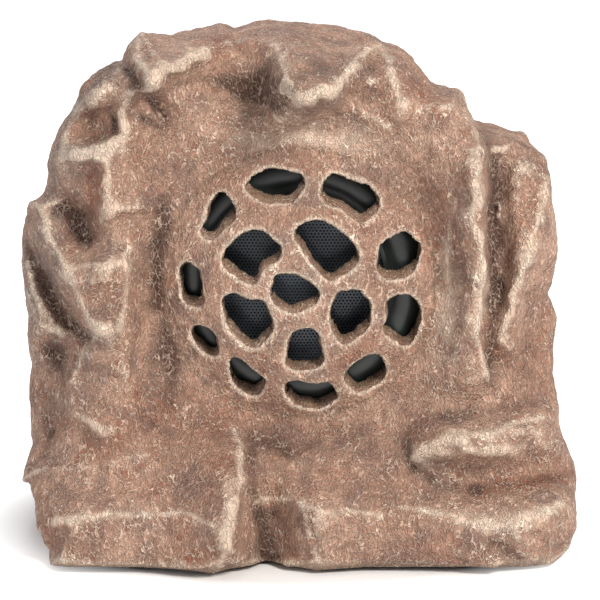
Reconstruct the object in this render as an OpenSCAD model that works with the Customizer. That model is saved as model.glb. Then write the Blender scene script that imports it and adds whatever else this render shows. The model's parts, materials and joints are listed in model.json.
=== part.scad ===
// Rock-shaped bluetooth speaker for a garden: a hollow cast stone shell with a pierced web in its front,
// a sealed speaker pod behind the web, a base plate on four feet, and a control panel in the back.
// X runs to the right, Y to the back and Z up. The origin is on the ground, under the middle of the rock.

/* [Rock] */
// Width of the rock over its widest lumps
rock_w = 274; // [250:2:330]
// Depth of the rock from its toe to its back
rock_d = 226; // [210:2:272]
// Height of the rock to its top ridge
rock_h = 250; // [232:2:300]
// How far the alcove round the web fades into the face
alcove_reach = 26; // [16:1:40]
// Least thickness of the cast wall
wall = 9; // [7:0.5:12]
// Height of the rock's rim over the ground
rim_z = 2; // [1.5:0.5:5]
// Width of the rock's rim outside the base plate
rim_w = 6; // [4:0.5:8]

/* [Web] */
// Height of the web's centre
web_z = 132; // [126:1:136]
// Radius of the round well behind the web
well_r = 62; // [61:0.5:66]
// How far the web bulges forward
web_rise = 20; // [12:1:24]
// Thickness of the web's bars, front to back
web_t = 10; // [8:0.5:14]
// Share of a hole's width that is left at its back
hole_draft = 0.9; // [0.8:0.02:1]

/* [Pod] */
// Thickness of the front wall where the pod is screwed on
land_t = 18; // [15:0.5:22]
// Thickness of the foam gasket round the pod
gasket_t = 1.5; // [1:0.25:3]
// Radius of the pod's round flange
flange_r = 71; // [68:0.5:74]
// Thickness of the baffle
baffle_t = 4; // [3:0.5:5]
// Radius on which the pod's screws stand
pod_screw_r = 74; // [73:0.5:77]
// Inner radius of the rear can
can_r = 60; // [57:0.5:62]
// Depth of the rear can inside
can_depth = 62; // [60:1:80]
// Wall of the rear can
can_t = 3; // [2:0.25:4]

/* [Grille] */
// Radius of the dark ring round the grille
ring_r = 60; // [57:0.5:60.5]
// Inner radius of the dark ring
ring_in_r = 41; // [38:0.5:43]
// Height of the dark ring over the baffle
ring_h = 11; // [9:0.5:12]
// Radius of the perforated steel disc
mesh_r = 44; // [43.5:0.5:46]
// Thickness of the perforated steel
mesh_t = 0.8; // [0.6:0.1:1.2]
// Distance between the holes of the grille
mesh_pitch = 6; // [5:0.5:8]
// Diameter of the holes of the grille
mesh_hole_d = 4; // [3:0.25:4.5]

/* [Driver] */
// Radius of the driver's mounting flange
driver_r = 52; // [50.5:0.5:54]
// Outer radius of the surround's roll
roll_r = 43; // [42:0.5:43.5]
// Radius of the paper cone at its mouth
cone_r = 36.5; // [35:0.5:38]
// Depth of the paper cone
cone_depth = 15; // [12:0.5:17]
// Outer radius of the voice coil
coil_r = 13; // [12.5:0.25:14]
// Radius of the magnet
magnet_r = 35; // [32:0.5:40]
// Thickness of the magnet
magnet_t = 15; // [12:0.5:18]
// How far the cone travels each way
cone_travel = 2.5; // [1:0.25:3]

/* [Base] */
// Thickness of the base plate
plate_t = 2.4; // [2:0.2:3]
// Height of the plate's underside over the ground
plate_z = 1.2; // [1:0.1:1.6]
// Radius of a rubber foot
foot_r = 9; // [7:0.5:12]
// How far a foot is let into the plate
foot_let = 1; // [0.6:0.1:1.4]
// Radius of the base screws' shafts
base_screw_r = 1.75; // [1.5:0.05:2]

/* [Control panel] */
// Width of the control panel
panel_w = 98; // [90:1:104]
// Height of the control panel
panel_h = 58; // [52:1:62]
// Thickness of the control panel's face
panel_t = 3; // [2.5:0.25:4]
// Height of the panel's middle
panel_z = 58; // [54:1:62]
// Distance of the panel's seat behind the rock's middle
panel_y = 94; // [90:1:96]
// Width of the land that the panel seats on
panel_land = 8; // [7:0.5:10]
// Depth of the panel's tray
tray_depth = 14; // [12:0.5:18]
// Radius of a button cap
button_r = 4.5; // [3.5:0.25:5]
// Distance between the buttons
button_pitch = 18; // [14:0.5:20]
// How far a button travels
button_travel = 0.8; // [0.5:0.1:1.2]
// Gap round a button cap
button_gap = 0.3; // [0.2:0.05:0.5]
// Radius of the audio socket's bore
aux_r = 1.8; // [1.77:0.01:1.85]
// Depth of the audio socket's bore
aux_depth = 12; // [10:0.5:13]
// Width of the silicone port cover
cover_w = 34; // [30:0.5:40]
// Height of the silicone port cover
cover_h = 16; // [14:0.5:18]

/* [Electronics] */
// Length of the battery pack
battery_l = 70; // [60:1:80]
// Diameter of one battery cell
cell_d = 18.6; // [18:0.1:22]
// Length of the amplifier board
board_l = 64; // [50:1:70]
// Width of the amplifier board
board_w = 44; // [36:1:50]
// Thickness of the circuit boards
board_t = 1.6; // [1:0.1:2]

/* [Hidden] */
$fn = 48;

// The lumps are drawn for a rock of this size, and stretched to the size asked for
drawn = [274, 226, 250];
stretch = [rock_w / drawn.x, rock_d / drawn.y, rock_h / drawn.z];
face_y = -64 * stretch.y;
apex_y = face_y - web_rise;
// The web is a shell between two balls round one centre
dome_r = (well_r * well_r + web_rise * web_rise) / (2 * web_rise) + 2;
dome_y = apex_y + dome_r;
land_y = face_y + land_t;
// Depth in the rock's section at which its side edges lie
side_y = -18;
// How far the alcove's floor stands in front of the web's rim
alcove_extra = 2;
boss_h = 22;
baffle_y = land_y + gasket_t;
can_y = baffle_y + baffle_t;
// Clearance of a screw in its hole
screw_gap = 0.2;
plate_top = plate_z + plate_t;

// Edges of the rock as seen from the front: height, left edge, right edge
OUTLINE = [
    [0, -124, 125], [7, -126, 131], [18, -129, 135], [24, -136, 136], [28, -136, 136], [34, -132, 135],
    [42, -131, 132], [54, -132, 129], [80, -132, 126], [105, -135, 128], [114, -136, 124], [120, -136, 126],
    [144, -136, 128], [158, -133, 126], [161, -129, 126], [166, -125, 125], [178, -125, 123],
    [182, -124, 122],
    [188, -121, 115], [194, -119, 112], [197, -117, 103], [200, -115, 88], [206, -112, 84], [213, -110, 82],
    [217, -109, 77], [219, -107, 67], [222, -103, 65], [227, -95, 60], [230, -88, 57], [236, -85, 51],
    [240, -83, 43], [246, -79, 36], [250, -66, 26]
];
// Height, depth of the plain front, depth of the plain back
SIDE = [
    [0, 97, 107], [22, 96, 108], [40, 86, 107], [52, 80, 105], [64, 74, 104], [80, 70, 102], [110, 69, 99],
    [150, 68, 91], [190, 68, 80], [215, 68, 66], [230, 64, 54], [240, 52, 46], [246, 40, 36], [250, 18, 22]
];
// Chiselled marks on the front. Each runs from one X and Z to another, stands proud by a height (or is cut in,
// where it is negative), and fades out over one reach on its left and another on its right
BROW_MARKS = [
    [-69, 224, -55, 235, 14, 30, 6], [-55, 235, -45, 240, 13, 20, 6], [-79, 243, -77, 230, 8, 25, 6],
    [-77, 230, -69, 224, 10, 20, 6], [-12, 242, -8, 229, 10, 30, 8], [-8, 229, -9, 219, 12, 30, 8],
    [0, 214, 7, 219, 16, 28, 6], [7, 219, 17, 221, 16, 28, 6], [17, 221, 29, 239, 9, 20, 10],
    [41, 236, 48, 216, 9, 16, 18], [-34, 222, -14, 214, -14, 14, 14], [-81, 231, -64, 210, -8, 6, 6],
    [-75, 208, -60, 201, -4, 5, 5]
];
RIGHT_MARKS = [
    [79, 211, 84, 197, 9, 6, 30], [84, 197, 85, 173, 10, 7, 34], [85, 173, 87, 140, 10, 7, 34],
    [87, 140, 84, 112, 9, 8, 30], [84, 112, 87, 88, 8, 10, 26], [94, 190, 93, 124, -16, 10, 9],
    [93, 124, 93, 94, -9, 10, 9], [112, 196, 112, 96, -14, 24, 18], [121, 171, 111, 144, 12, 12, 14],
    [111, 144, 97, 102, 13, 14, 12]
];
LEFT_MARKS = [
    [-104, 230, -108, 200, -8, 20, 16], [-87, 233, -95, 219, 8, 8, 10], [-95, 219, -111, 208, 9, 8, 10],
    [-114, 190, -103, 190, 9, 18, 5], [-103, 190, -89, 196, 9, 18, 5], [-91, 190, -91, 165, 9, 12, 6],
    [-91, 164, -78, 164, 8, 20, 5], [-114, 166, -100, 150, -14, 12, 12], [-118, 167, -123, 149, 8, 10, 8],
    [-109, 135, -92, 138, 10, 10, 14], [-92, 138, -80, 146, 9, 12, 14], [-83, 140, -84, 110, 9, 7, 24],
    [-106, 121, -97, 110, 9, 14, 5], [-97, 110, -84, 110, 9, 16, 5], [-131, 146, -121, 126, -10, 7, 7],
    [-121, 126, -107, 108, -12, 7, 7], [-107, 108, -97, 107, -10, 6, 6], [-120, 100, -106, 92, -9, 9, 9],
    [-97, 106, -106, 88, 6, 16, 7], [-121, 80, -120, 50, -7, 12, 9], [-104, 66, -92, 60, 8, 20, 6],
    [-82, 108, -80, 66, 8, 7, 22], [-71, 86, -71, 66, -5, 8, 10]
];
FOOT_MARKS = [
    [-28, 52, -28, 40, 8, 8, 24], [-28, 40, -32, 20, 9, 8, 26], [-32, 20, -37, 0, 9, 8, 26],
    [-14, 33, -14, 0, -13, 9, 9], [2, 33, 12, 26, 5, 10, 10], [12, 26, 60, 27, 5, 14, 12],
    [4, 27, 7, 0, 6, 20, 6], [-21, 57, -5, 48, -4, 4, 4], [53, 52, 72, 62, 12, 7, 16],
    [72, 62, 89, 60, 14, 8, 16], [89, 60, 114, 64, 14, 8, 16], [49, 60, 50, 50, -6, 5, 5],
    [62, 73, 92, 68, -6, 9, 7], [57, 46, 74, 42, -7, 6, 8], [74, 42, 92, 44, -8, 6, 8],
    [92, 44, 130, 37, -8, 6, 8], [66, 27, 78, 24, 6, 12, 14], [78, 24, 101, 24, 7, 12, 14],
    [101, 24, 121, 28, 7, 12, 14], [-111, 22, -40, 26, 4, 16, 18]
];
MARKS = concat(BROW_MARKS, RIGHT_MARKS, LEFT_MARKS, FOOT_MARKS);
// How much higher than their tables the marks on the front stand
marks_lift = 2.5;
// The same for the back, seen from the front
BACK_MARKS = [
    [-60, 20, -70, 130, 8, 30, 40], [40, 10, 62, 150, 9, 40, 26], [-10, 120, 10, 200, 7, 30, 30],
    [96, 150, 70, 40, -6, 14, 20], [-100, 110, -80, 190, -7, 16, 14], [-90, 200, 30, 190, 6, 26, 20]
];

// The web's holes, as X and Z from its centre: ten round the rim, five inside them and one in the middle
HOLES = [
    [[-26, 48], [-20, 53], [-13, 56], [2, 53], [3, 49], [-3, 41], [-16, 41], [-24, 45]],
    [[16, 54], [24, 50], [32, 48], [37, 43], [38, 37], [29, 31], [21, 38], [10, 42], [11, 49]],
    [[-36, 46], [-31, 39], [-29, 34], [-36, 29], [-40, 23], [-48, 24], [-43, 31], [-42, 38]],
    [[-55, 13], [-46, 7], [-46, -2], [-44, -11], [-48, -9], [-54, -9], [-56, 7]],
    [[-52, -21], [-48, -19], [-42, -20], [-38, -27], [-39, -35], [-45, -32], [-49, -27]],
    [[-33, -33], [-26, -35], [-23, -40], [-15, -45], [-21, -55], [-29, -50], [-32, -43]],
    [[-6, -44], [5, -47], [15, -46], [19, -55], [10, -61], [0, -59], [-6, -52]],
    [[34, -32], [38, -33], [42, -40], [39, -48], [28, -53], [21, -44], [25, -38]],
    [[41, -6], [48, -4], [54, -5], [58, -12], [57, -21], [53, -31], [46, -26], [39, -21], [42, -15]],
    [[38, 21], [43, 23], [50, 26], [54, 22], [58, 19], [56, 12], [54, 7], [48, 4], [41, 5], [37, 8]],
    [[-18, 29], [-13, 24], [-8, 20], [-9, 16], [-18, 10], [-21, 2], [-28, 6], [-36, 12], [-35, 18], [-27, 26]],
    [[-1, 30], [7, 33], [14, 31], [21, 26], [26, 21], [28, 15], [25, 10], [14, 5], [6, 14], [-2, 26]],
    [[-11, 8], [-3, 8], [2, 6], [10, 0], [8, -6], [-3, -10], [-10, -7], [-13, -2]],
    [[-36, -3], [-30, -2], [-23, -5], [-17, -4], [-12, -16], [-13, -20], [-21, -29], [-28, -24], [-34, -17]],
    [[-3, -19], [7, -18], [9, -22], [12, -36], [7, -38], [-2, -39], [-6, -37], [-4, -23]],
    [[20, 0], [28, 0], [34, -8], [33, -18], [28, -22], [20, -27], [15, -15], [15, -8]]
];

function mean(points, i = 0) = i == len(points) ? 0 * points[0]
    : points[i] / len(points) + mean(points, i + 1);
function total(v, i = 0) = i == len(v) ? 0 : v[i] + total(v, i + 1);
function mix(a, b, t) = a + (b - a) * t;
function smooth(t) = let (u = min(1, max(0, t))) u * u * (3 - 2 * u);
function column(table, i) = [for (row = table) [row[0], row[i]]];
function scaled(p) = [for (i = [0 : len(p) - 1]) p[i] * stretch[i]];

// Height of one mark at a point of the face
function mark(m, x, z) =
    let (
        along = [m[2] - m[0], m[3] - m[1]],
        from = [x - m[0], z - m[1]],
        t = min(1, max(0, (from * along) / (along * along))),
        left = along.x * from.y - along.y * from.x > 0,
        away = norm(from - t * along)
    )
    m[4] * max(0, 1 - away / (left ? m[5] : m[6]));
function marked(marks, x, z) = total([for (m = marks) mark(m, x, z)]);

// The face of the rock, as a depth in front of its middle, with the alcove round the web
function front_depth(x, z) =
    let (
        plain = lookup(z, column(SIDE, 1)) + marked(MARKS, x, z - marks_lift),
        r = norm([x * stretch.x, z * stretch.z - web_z])
    )
    mix(-face_y / stretch.y - alcove_extra, plain, smooth((r - well_r - 3) / alcove_reach));
function back_depth(x, z) = lookup(z, column(SIDE, 2)) + marked(BACK_MARKS, x, z);

// A point of the stone at height z and angle a round its section, drawn in by d
function stone_point(z, a, d) =
    let (
        left = lookup(z, column(OUTLINE, 1)) + d,
        right = lookup(z, column(OUTLINE, 2)) - d,
        across = -cos(a),
        x = (left + right) / 2 + across * (right - left) / 2,
        reach = a < 180 ? front_depth(x, z) - d : back_depth(x, z) - d,
        // the section is squarer in front than behind
        square = a < 180 ? mix(9, 5, smooth(z / 60)) : 3.2,
        share = pow(1 - pow(abs(across), square), 1 / square)
    )
    scaled([x, side_y + (a < 180 ? -1 : 1) * (reach + (a < 180 ? 1 : -1) * side_y) * share, z]);

// Angles round a section: fine in front, coarser behind
function stone_angles(n_front, n_back) = concat(
    [for (i = [0 : n_front - 1]) 180 * i / n_front],
    [for (i = [0 : n_back - 1]) 180 + 180 * i / n_back]
);

// The rock's outline on the ground, drawn in by d
function ground_point(a, d) = let (p = stone_point(0, a, d)) [p.x, p.y];
function ground(d) = [for (a = stone_angles(26, 12)) ground_point(a, d)];

// A skin through rings of points, closed above and below
module skin(rings) {
    n = len(rings[0]);
    levels = len(rings);
    points = concat([for (ring = rings) for (p = ring) p], [mean(rings[0]), mean(rings[levels - 1])]);
    sides = [
        for (i = [0 : levels - 2]) for (j = [0 : n - 1])
            let (a = i * n + j, b = i * n + (j + 1) % n)
            for (f = [[a, a + n, b], [b, a + n, b + n]]) f
    ];
    ends = [
        for (j = [0 : n - 1]) for (f = [
            [j, (j + 1) % n, levels * n],
            [(levels - 1) * n + (j + 1) % n, (levels - 1) * n + j, levels * n + 1]
        ]) f
    ];
    polyhedron(points, concat(sides, ends), convexity = 10);
}

// The outside of the stone
module stone() {
    top = drawn.z;
    shoulder = 180;
    knee = 232;
    heights = concat(
        [for (i = [0 : 25]) shoulder * i / 25],
        [for (i = [1 : 12]) mix(shoulder, knee, i / 12)],
        [for (i = [1 : 6]) mix(knee, top, sin(15 * i))]
    );
    angles = stone_angles(50, 16);
    skin([for (z = heights) [for (a = angles) stone_point(z, a, 0)]]);
}

// The inside of the stone, drawn in by the wall, coarser than the outside
module stone_inside() {
    top = drawn.z - wall - 4;
    angles = stone_angles(26, 12);
    skin([for (i = [0 : 18]) let (z = top * sin(90 * i / 18)) [for (a = angles) stone_point(z, a, wall + 3)]]);
}

// What follows is turned so that its Z runs to the back, from the web's axis at depth y
module on_axis(y = 0) {
    translate([0, y, web_z]) rotate([-90, 0, 0]) children();
}

// A ball round the web's centre of curvature
module dome_ball(r) {
    translate([0, dome_y, web_z]) rotate([90, 0, 0]) sphere(r, $fn = 72);
}

// The solid dome before it is pierced
module web_dome() {
    intersection() {
        dome_ball(dome_r);
        on_axis(apex_y - 1) cylinder(r = well_r + 2, h = web_rise + 8, $fn = 48);
    }
}

// The round well, closed in front by the web
module web_well() {
    intersection() {
        dome_ball(dome_r - web_t);
        on_axis(apex_y - 1) cylinder(r = well_r, h = web_rise + land_t + 3, $fn = 48);
    }
}

// One tapered hole, wide in front
module web_hole(points) {
    c = mean(points);
    depth = web_rise + land_t;
    translate([0, apex_y - 1, web_z]) rotate([90, 0, 0]) mirror([0, 0, 1])
        translate(c) linear_extrude(depth, scale = hole_draft) translate(-c) polygon(points);
}

// Where the pod's screws stand, each with its tip towards the front
module at_pod_screws(y) {
    for (a = [45 : 90 : 315])
        on_axis(y) rotate(a) translate([pod_screw_r, 0, 0]) children();
}

// Where the base screws stand
base_screw_spots = [for (a = [30, 90, 150, 222, 318]) ground_point(a, rim_w + 9)];
module at_base_screws(z = 0) {
    for (p = base_screw_spots) translate([p.x, p.y, z]) children();
}

// Space that the pod needs behind the front wall
pod_space_r = pod_screw_r + 7;
pod_end_y = can_y + can_depth + can_t;

// A block across the panel's middle, from y0 to y1
module panel_block(w, h, y0, y1) {
    translate([-w / 2, y0, panel_z - h / 2]) cube([w, y1 - y0, h]);
}
panel_seat_y = panel_y * stretch.y;
panel_face_y = panel_seat_y + panel_t;
window_w = panel_w - 2 * panel_land;
window_h = panel_h - 2 * panel_land;
panel_wall = 12;
seal_t = 0.8;
panel_fit = 0.5;

// Everything that is open inside the rock, less the thick wall round the web and the control panel's frame
module hollow() {
    difference() {
        stone_inside();
        intersection() {
            on_axis(-rock_d) cylinder(r = pod_space_r, h = land_y + rock_d, $fn = 40);
            translate([-rock_w, -rock_d, 0]) cube([2 * rock_w, rock_d + land_y, 2 * rock_h]);
        }
        panel_block(panel_w + 12, panel_h + 12, panel_seat_y - panel_wall, rock_d);
        screw_bosses();
    }
    // room for the pod
    on_axis(land_y) cylinder(r = pod_space_r, h = pod_end_y - land_y + 2, $fn = 40);
    // the seat of the base plate
    translate([0, 0, -1]) linear_extrude(plate_top + 1) polygon(ground(rim_w));
}

// Posts for the base screws, each with a rib that runs out into the wall
module screw_bosses() {
    for (p = base_screw_spots)
        hull() {
            translate([p.x, p.y, plate_top]) cylinder(r = base_screw_r + 3.5, h = boss_h, $fn = 16);
            translate([p.x * 1.2, p.y * 1.2, plate_top]) cylinder(r = 3, h = boss_h + 8, $fn = 8);
        }
    for (a = [45 : 90 : 315])
        hull() {
            on_axis(land_y - 12) rotate(a) translate([pod_screw_r, 0, 0]) cylinder(r = 6, h = 12, $fn = 16);
            on_axis(land_y - 12) rotate(a) translate([pod_screw_r + 12, 0, 0]) cylinder(r = 4, h = 3, $fn = 8);
        }
}

module rock_shell() {
    color("rosybrown") difference() {
        union() {
            difference() {
                union() {
                    stone();
                    web_dome();
                }
                hollow();
                web_well();
            }
        }
        translate([-rock_w, -rock_d, rim_z - 20]) cube([2 * rock_w, 2 * rock_d, 20]);
        for (points = HOLES) web_hole(points);
        // the pocket that the control panel sits in
        panel_block(panel_w + 2 * panel_fit, panel_h + 2 * panel_fit, panel_seat_y - seal_t, rock_d);
        panel_block(window_w, window_h, panel_seat_y - panel_wall - 1, panel_seat_y + 1);
        at_base_screws(plate_top - 1) cylinder(r = base_screw_r + screw_gap, h = 14, $fn = 16);
        at_pod_screws(land_y - 9) cylinder(r = pod_screw_shaft + screw_gap, h = 10, $fn = 16);
        at_panel_screws(panel_seat_y - 9) cylinder(r = panel_screw_r + screw_gap, h = 10, $fn = 16);
    }
}

// Base plate with a seat for each foot and countersunk screw holes
module base_plate() {
    color("#1c1c1e") difference() {
        translate([0, 0, plate_z]) linear_extrude(plate_t) polygon(ground(rim_w + 0.5));
        at_feet(plate_z - 1) cylinder(r = foot_r + 0.1, h = 1 + foot_let);
        at_base_screws(plate_z - 1) cylinder(r = base_screw_r + screw_gap, h = plate_t + 2, $fn = 24);
        at_base_screws(plate_z - 0.01)
            cylinder(r1 = base_head_r + screw_gap, r2 = base_screw_r + screw_gap, h = base_head_t);
        at_strap_screws(plate_z - 1) cylinder(r = strap_screw_r + screw_gap, h = plate_t + 2, $fn = 24);
    }
}

foot_spots = [[-78, -66], [78, -68], [84, 60], [-86, 58]];
module at_feet(z) {
    for (p = foot_spots) translate([p.x * stretch.x, p.y * stretch.y, z]) children();
}

// Four rubber feet, each a low dome with a flat sole
module rubber_feet() {
    color("#232323") at_feet(0) {
        cylinder(r1 = foot_r - 0.8, r2 = foot_r, h = 0.8);
        translate([0, 0, 0.8]) cylinder(r = foot_r, h = plate_z + foot_let - 0.8);
    }
}

base_head_r = 3.4;
base_head_t = 1.6;
module base_screws() {
    color("#8d8f92") at_base_screws(plate_z) difference() {
        union() {
            cylinder(r1 = base_head_r, r2 = base_screw_r, h = base_head_t);
            cylinder(r = base_screw_r, h = plate_t + 10);
        }
        for (a = [0, 90]) rotate(a) translate([-2, -0.4, -1]) cube([4, 0.8, 1.8]);
    }
}

// A flat ring on the web's axis
module flat_ring(r_out, r_in, y, t) {
    on_axis(y) rotate_extrude($fn = 96) translate([r_in, 0]) square([r_out - r_in, t]);
}

pod_screw_shaft = 1.9;
pod_head_r = 3.8;
pod_lug_r = 6;
// A round flange with a lug for each of the pod's screws, open in the middle
module pod_flange(y, t, r_in) {
    on_axis(y) linear_extrude(t) difference() {
        union() {
            circle(flange_r, $fn = 96);
            for (a = [45 : 90 : 315]) rotate(a) translate([pod_screw_r, 0]) circle(pod_lug_r, $fn = 32);
        }
        circle(r_in, $fn = 96);
        for (a = [45 : 90 : 315])
            rotate(a) translate([pod_screw_r, 0]) circle(pod_screw_shaft + screw_gap, $fn = 24);
    }
}

module pod_gasket() {
    color("#2b2b2b") pod_flange(land_y, gasket_t, well_r + 2);
}

driver_y = can_y + gasket_t;
driver_screw_r = (driver_r + roll_r + 3) / 2;
module at_driver_screws(y) {
    for (a = [0 : 90 : 270]) on_axis(y) rotate(a) translate([driver_screw_r, 0, 0]) children();
}

baffle_hole_r = roll_r + 0.6;
driver_screw_pilot_r = 1.4;
module pod_baffle() {
    color("#202223") difference() {
        pod_flange(baffle_y, baffle_t, baffle_hole_r);
        at_driver_screws(baffle_y + 1) cylinder(r = driver_screw_pilot_r, h = baffle_t, $fn = 24);
    }
}

can_outer_r = can_r + can_t;
// The rear can, a deep cup with a flange that the baffle seats on
module pod_can() {
    color("#26282a") on_axis(can_y) rotate_extrude($fn = 96) polygon([
        [can_r, 0], [flange_r - 3, 0], [flange_r - 3, can_t], [can_outer_r, can_t],
        [can_outer_r, can_depth + can_t - 6], [can_outer_r - 6, can_depth + can_t],
        [0, can_depth + can_t], [0, can_depth], [can_r - 5, can_depth], [can_r, can_depth - 5]
    ]);
}

module pod_screws() {
    color("#9a9c9e") at_pod_screws(can_y) difference() {
        union() {
            translate([0, 0, -baffle_t - gasket_t - 8])
            cylinder(r = pod_screw_shaft, h = baffle_t + gasket_t + 8);
            cylinder(r1 = pod_head_r, r2 = pod_head_r - 0.8, h = 2.4);
        }
        for (a = [0, 90]) rotate(a) translate([-2, -0.4, 1.2]) cube([4, 0.8, 2]);
    }
}

mesh_front = 2.6;
// Smooth dark ring with a rounded brow and an inner lip that holds the steel disc
module grille_ring() {
    lip_r = ring_in_r;
    top = -ring_h;
    color("#1d2320") difference() {
        on_axis(baffle_y) rotate_extrude($fn = 96) difference() {
            union() {
                translate([mesh_r - 0.5, top + 4]) square([ring_r - mesh_r - 1.5, -top - 4]);
                translate([lip_r, top + 2.2]) square([6, mesh_front]);
                intersection() {
                    translate([(lip_r + ring_r) / 2, top + (ring_r - lip_r) * 0.75])
                        circle((ring_r - lip_r) * 0.75, $fn = 64);
                    translate([lip_r, top]) square([ring_r - lip_r, 6]);
                }
                translate([ring_r - 3, top + 5]) square([3, -top - 5]);
            }
            translate([mesh_r + 3.5, top + 6.5]) square([ring_r - mesh_r - 6, -top]);
            translate([0, top + 2.2 + mesh_front]) square([mesh_r + 0.1, 20]);
        }
    }
}

mesh_y = baffle_y - ring_h + 2.2 + mesh_front;
mesh_rings = floor((mesh_r - 6) / mesh_pitch);
// Perforated steel disc, its holes on a hexagonal lattice
module speaker_grille() {
    color("#111213") on_axis(mesh_y) linear_extrude(mesh_t) difference() {
        circle(mesh_r, $fn = 96);
        for (i = [-mesh_rings - 1 : mesh_rings + 1])
            for (j = [-mesh_rings - 1 : mesh_rings + 1]) {
                p = mesh_pitch * [i + j / 2, j * sqrt(3) / 2];
                if (norm(p) < mesh_r - 4 - mesh_hole_d / 2) translate(p) circle(d = mesh_hole_d, $fn = 16);
            }
    }
}

module driver_gasket() {
    color("#30302f") difference() {
        flat_ring(driver_r, roll_r + 2.5, can_y, gasket_t);
        at_driver_screws(can_y - 1) cylinder(r = 1.8, h = gasket_t + 2, $fn = 24);
    }
}

flange_t = 1.5;
cone_y = driver_y;
cone_back = cone_y + cone_depth;
spider_y = cone_back + 3;
top_plate_y = spider_y + 8;
top_plate_t = 5;
magnet_y = top_plate_y + top_plate_t;
back_plate_y = magnet_y + magnet_t;
spider_r = 29;
spider_t = 0.6;
basket_t = 1.5;

// Pressed steel basket with four windows
module driver_basket() {
    seat_r = magnet_r - 6;
    depth = top_plate_y - driver_y;
    spider_z = spider_y - driver_y;
    color("#2c2e31") difference() {
        on_axis(driver_y) rotate_extrude($fn = 96) polygon([
            [roll_r + 0.5, 0], [driver_r, 0], [driver_r, flange_t], [roll_r + 3, flange_t],
            [spider_r + 4, spider_z + basket_t], [spider_r + 4, depth], [coil_r + 6, depth],
            [coil_r + 6, depth - basket_t], [spider_r + 2.5, depth - basket_t],
            [spider_r + 2.5, spider_z + basket_t], [spider_r - 1, spider_z + basket_t],
            [spider_r - 1, spider_z + spider_t], [spider_r + 2.5, spider_z + spider_t], [roll_r + 0.5, flange_t]
        ]);
        for (a = [45 : 90 : 315]) on_axis(driver_y + flange_t + 3) rotate(a)
            translate([spider_r + 5, -14, 0]) cube([30, 28, spider_z - flange_t - 5]);
        at_driver_screws(driver_y - 1) cylinder(r = 1.8, h = 4, $fn = 24);
    }
}

module driver_screws() {
    color("#8d8f92") at_driver_screws(driver_y + flange_t) {
        translate([0, 0, -flange_t - gasket_t - 2.5])
            cylinder(r = 1.35, h = flange_t + gasket_t + 2.5, $fn = 24);
        cylinder(r1 = 2.6, r2 = 2, h = 1.6, $fn = 32);
    }
}

coil_gap = 0.5;
module top_plate() {
    color("#77797c") flat_ring(magnet_r - 2, coil_r + coil_gap, top_plate_y, top_plate_t);
}

module magnet() {
    color("#3a3a3d") flat_ring(magnet_r, coil_r + 4, magnet_y, magnet_t);
}

coil_t = 0.5;
// Back plate and pole, turned from one piece of iron
module back_plate() {
    color("#77797c") {
        on_axis(back_plate_y) cylinder(r1 = magnet_r - 1, r2 = magnet_r - 4, h = 4, $fn = 96);
        on_axis(top_plate_y - 0.5)
            cylinder(r = coil_r - coil_t - coil_gap, h = back_plate_y - top_plate_y + 1, $fn = 72);
    }
}

// Corrugated cloth disc that centres the coil
module spider() {
    waves = 6;
    inner = coil_r + 0.02;
    step = (spider_r - inner) / waves;
    top = [for (i = [0 : waves]) [inner + i * step, i % 2 == 0 ? 0 : -1.6]];
    bottom = [for (i = [waves : -1 : 0]) [inner + i * step, (i % 2 == 0 ? 0 : -1.6) + spider_t]];
    color("#c89b45") on_axis(spider_y) rotate_extrude($fn = 72) polygon(concat(top, bottom));
}

module voice_coil() {
    y = cone_back - 3;
    color("#b06a3a") flat_ring(coil_r, coil_r - coil_t, y, top_plate_y + top_plate_t + 1 - y);
}

cone_t = 0.9;
cone_mid_r = (cone_r + coil_r) / 2;
cone_mid_z = 0.58 * cone_depth;
module cone() {
    color("#18191a") on_axis(cone_y) rotate_extrude($fn = 96) polygon([
        [cone_r, 0], [cone_r, cone_t], [cone_mid_r + 1.5, cone_mid_z + cone_t],
        [coil_r + 0.05, cone_depth], [coil_r + 0.05, cone_depth - cone_t - 0.6],
        [cone_mid_r + 0.5, cone_mid_z - 0.3 * cone_t]
    ]);
}

cap_r = coil_r + 4;
module dust_cap() {
    rise = 5;
    ball = (cap_r * cap_r + rise * rise) / (2 * rise);
    share = (cone_mid_r + 0.5 - cap_r) / (cone_mid_r + 0.5 - coil_r);
    seat = cone_y + mix(cone_mid_z - 0.3 * cone_t, cone_depth - cone_t - 0.6, share);
    color("#151617") on_axis(seat - rise) intersection() {
        difference() {
            translate([0, 0, ball]) sphere(ball, $fn = 96);
            translate([0, 0, ball]) sphere(ball - 0.8, $fn = 96);
        }
        cylinder(r = cap_r + 2, h = rise, $fn = 64);
    }
}

// Half roll of rubber between the cone and the basket
module surround() {
    roll = (roll_r - cone_r) / 2;
    color("#141414") on_axis(cone_y) rotate_extrude($fn = 96) {
        translate([cone_r + roll, 0]) difference() {
            circle(roll, $fn = 48);
            circle(roll - 0.8, $fn = 48);
            translate([-roll - 1, 0]) square([2 * roll + 2, roll + 1]);
        }
        translate([cone_r - 1.6, -0.8]) square([2.2, 0.8]);
        translate([roll_r - 0.8, -0.6]) square([2.9, 0.6]);
    }
}

module terminal_strip() {
    color("#b58d3d") translate([0, spider_y - 4, web_z - spider_r - 9.6]) {
        translate([-9, 0, 0]) cube([18, 6, 1.6]);
        for (s = [-1, 1]) translate([s * 5 - 1.2, 6, 0.4]) cube([2.4, 5, 0.8]);
    }
}

board_z = plate_top + 6;
board_c = [50, 20];
module at_board_corners(z, inset = 4) {
    for (sx = [-1, 1], sy = [-1, 1])
        translate([board_c.x + sx * (board_l / 2 - inset), board_c.y + sy * (board_w / 2 - inset), z]) children();
}

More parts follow.
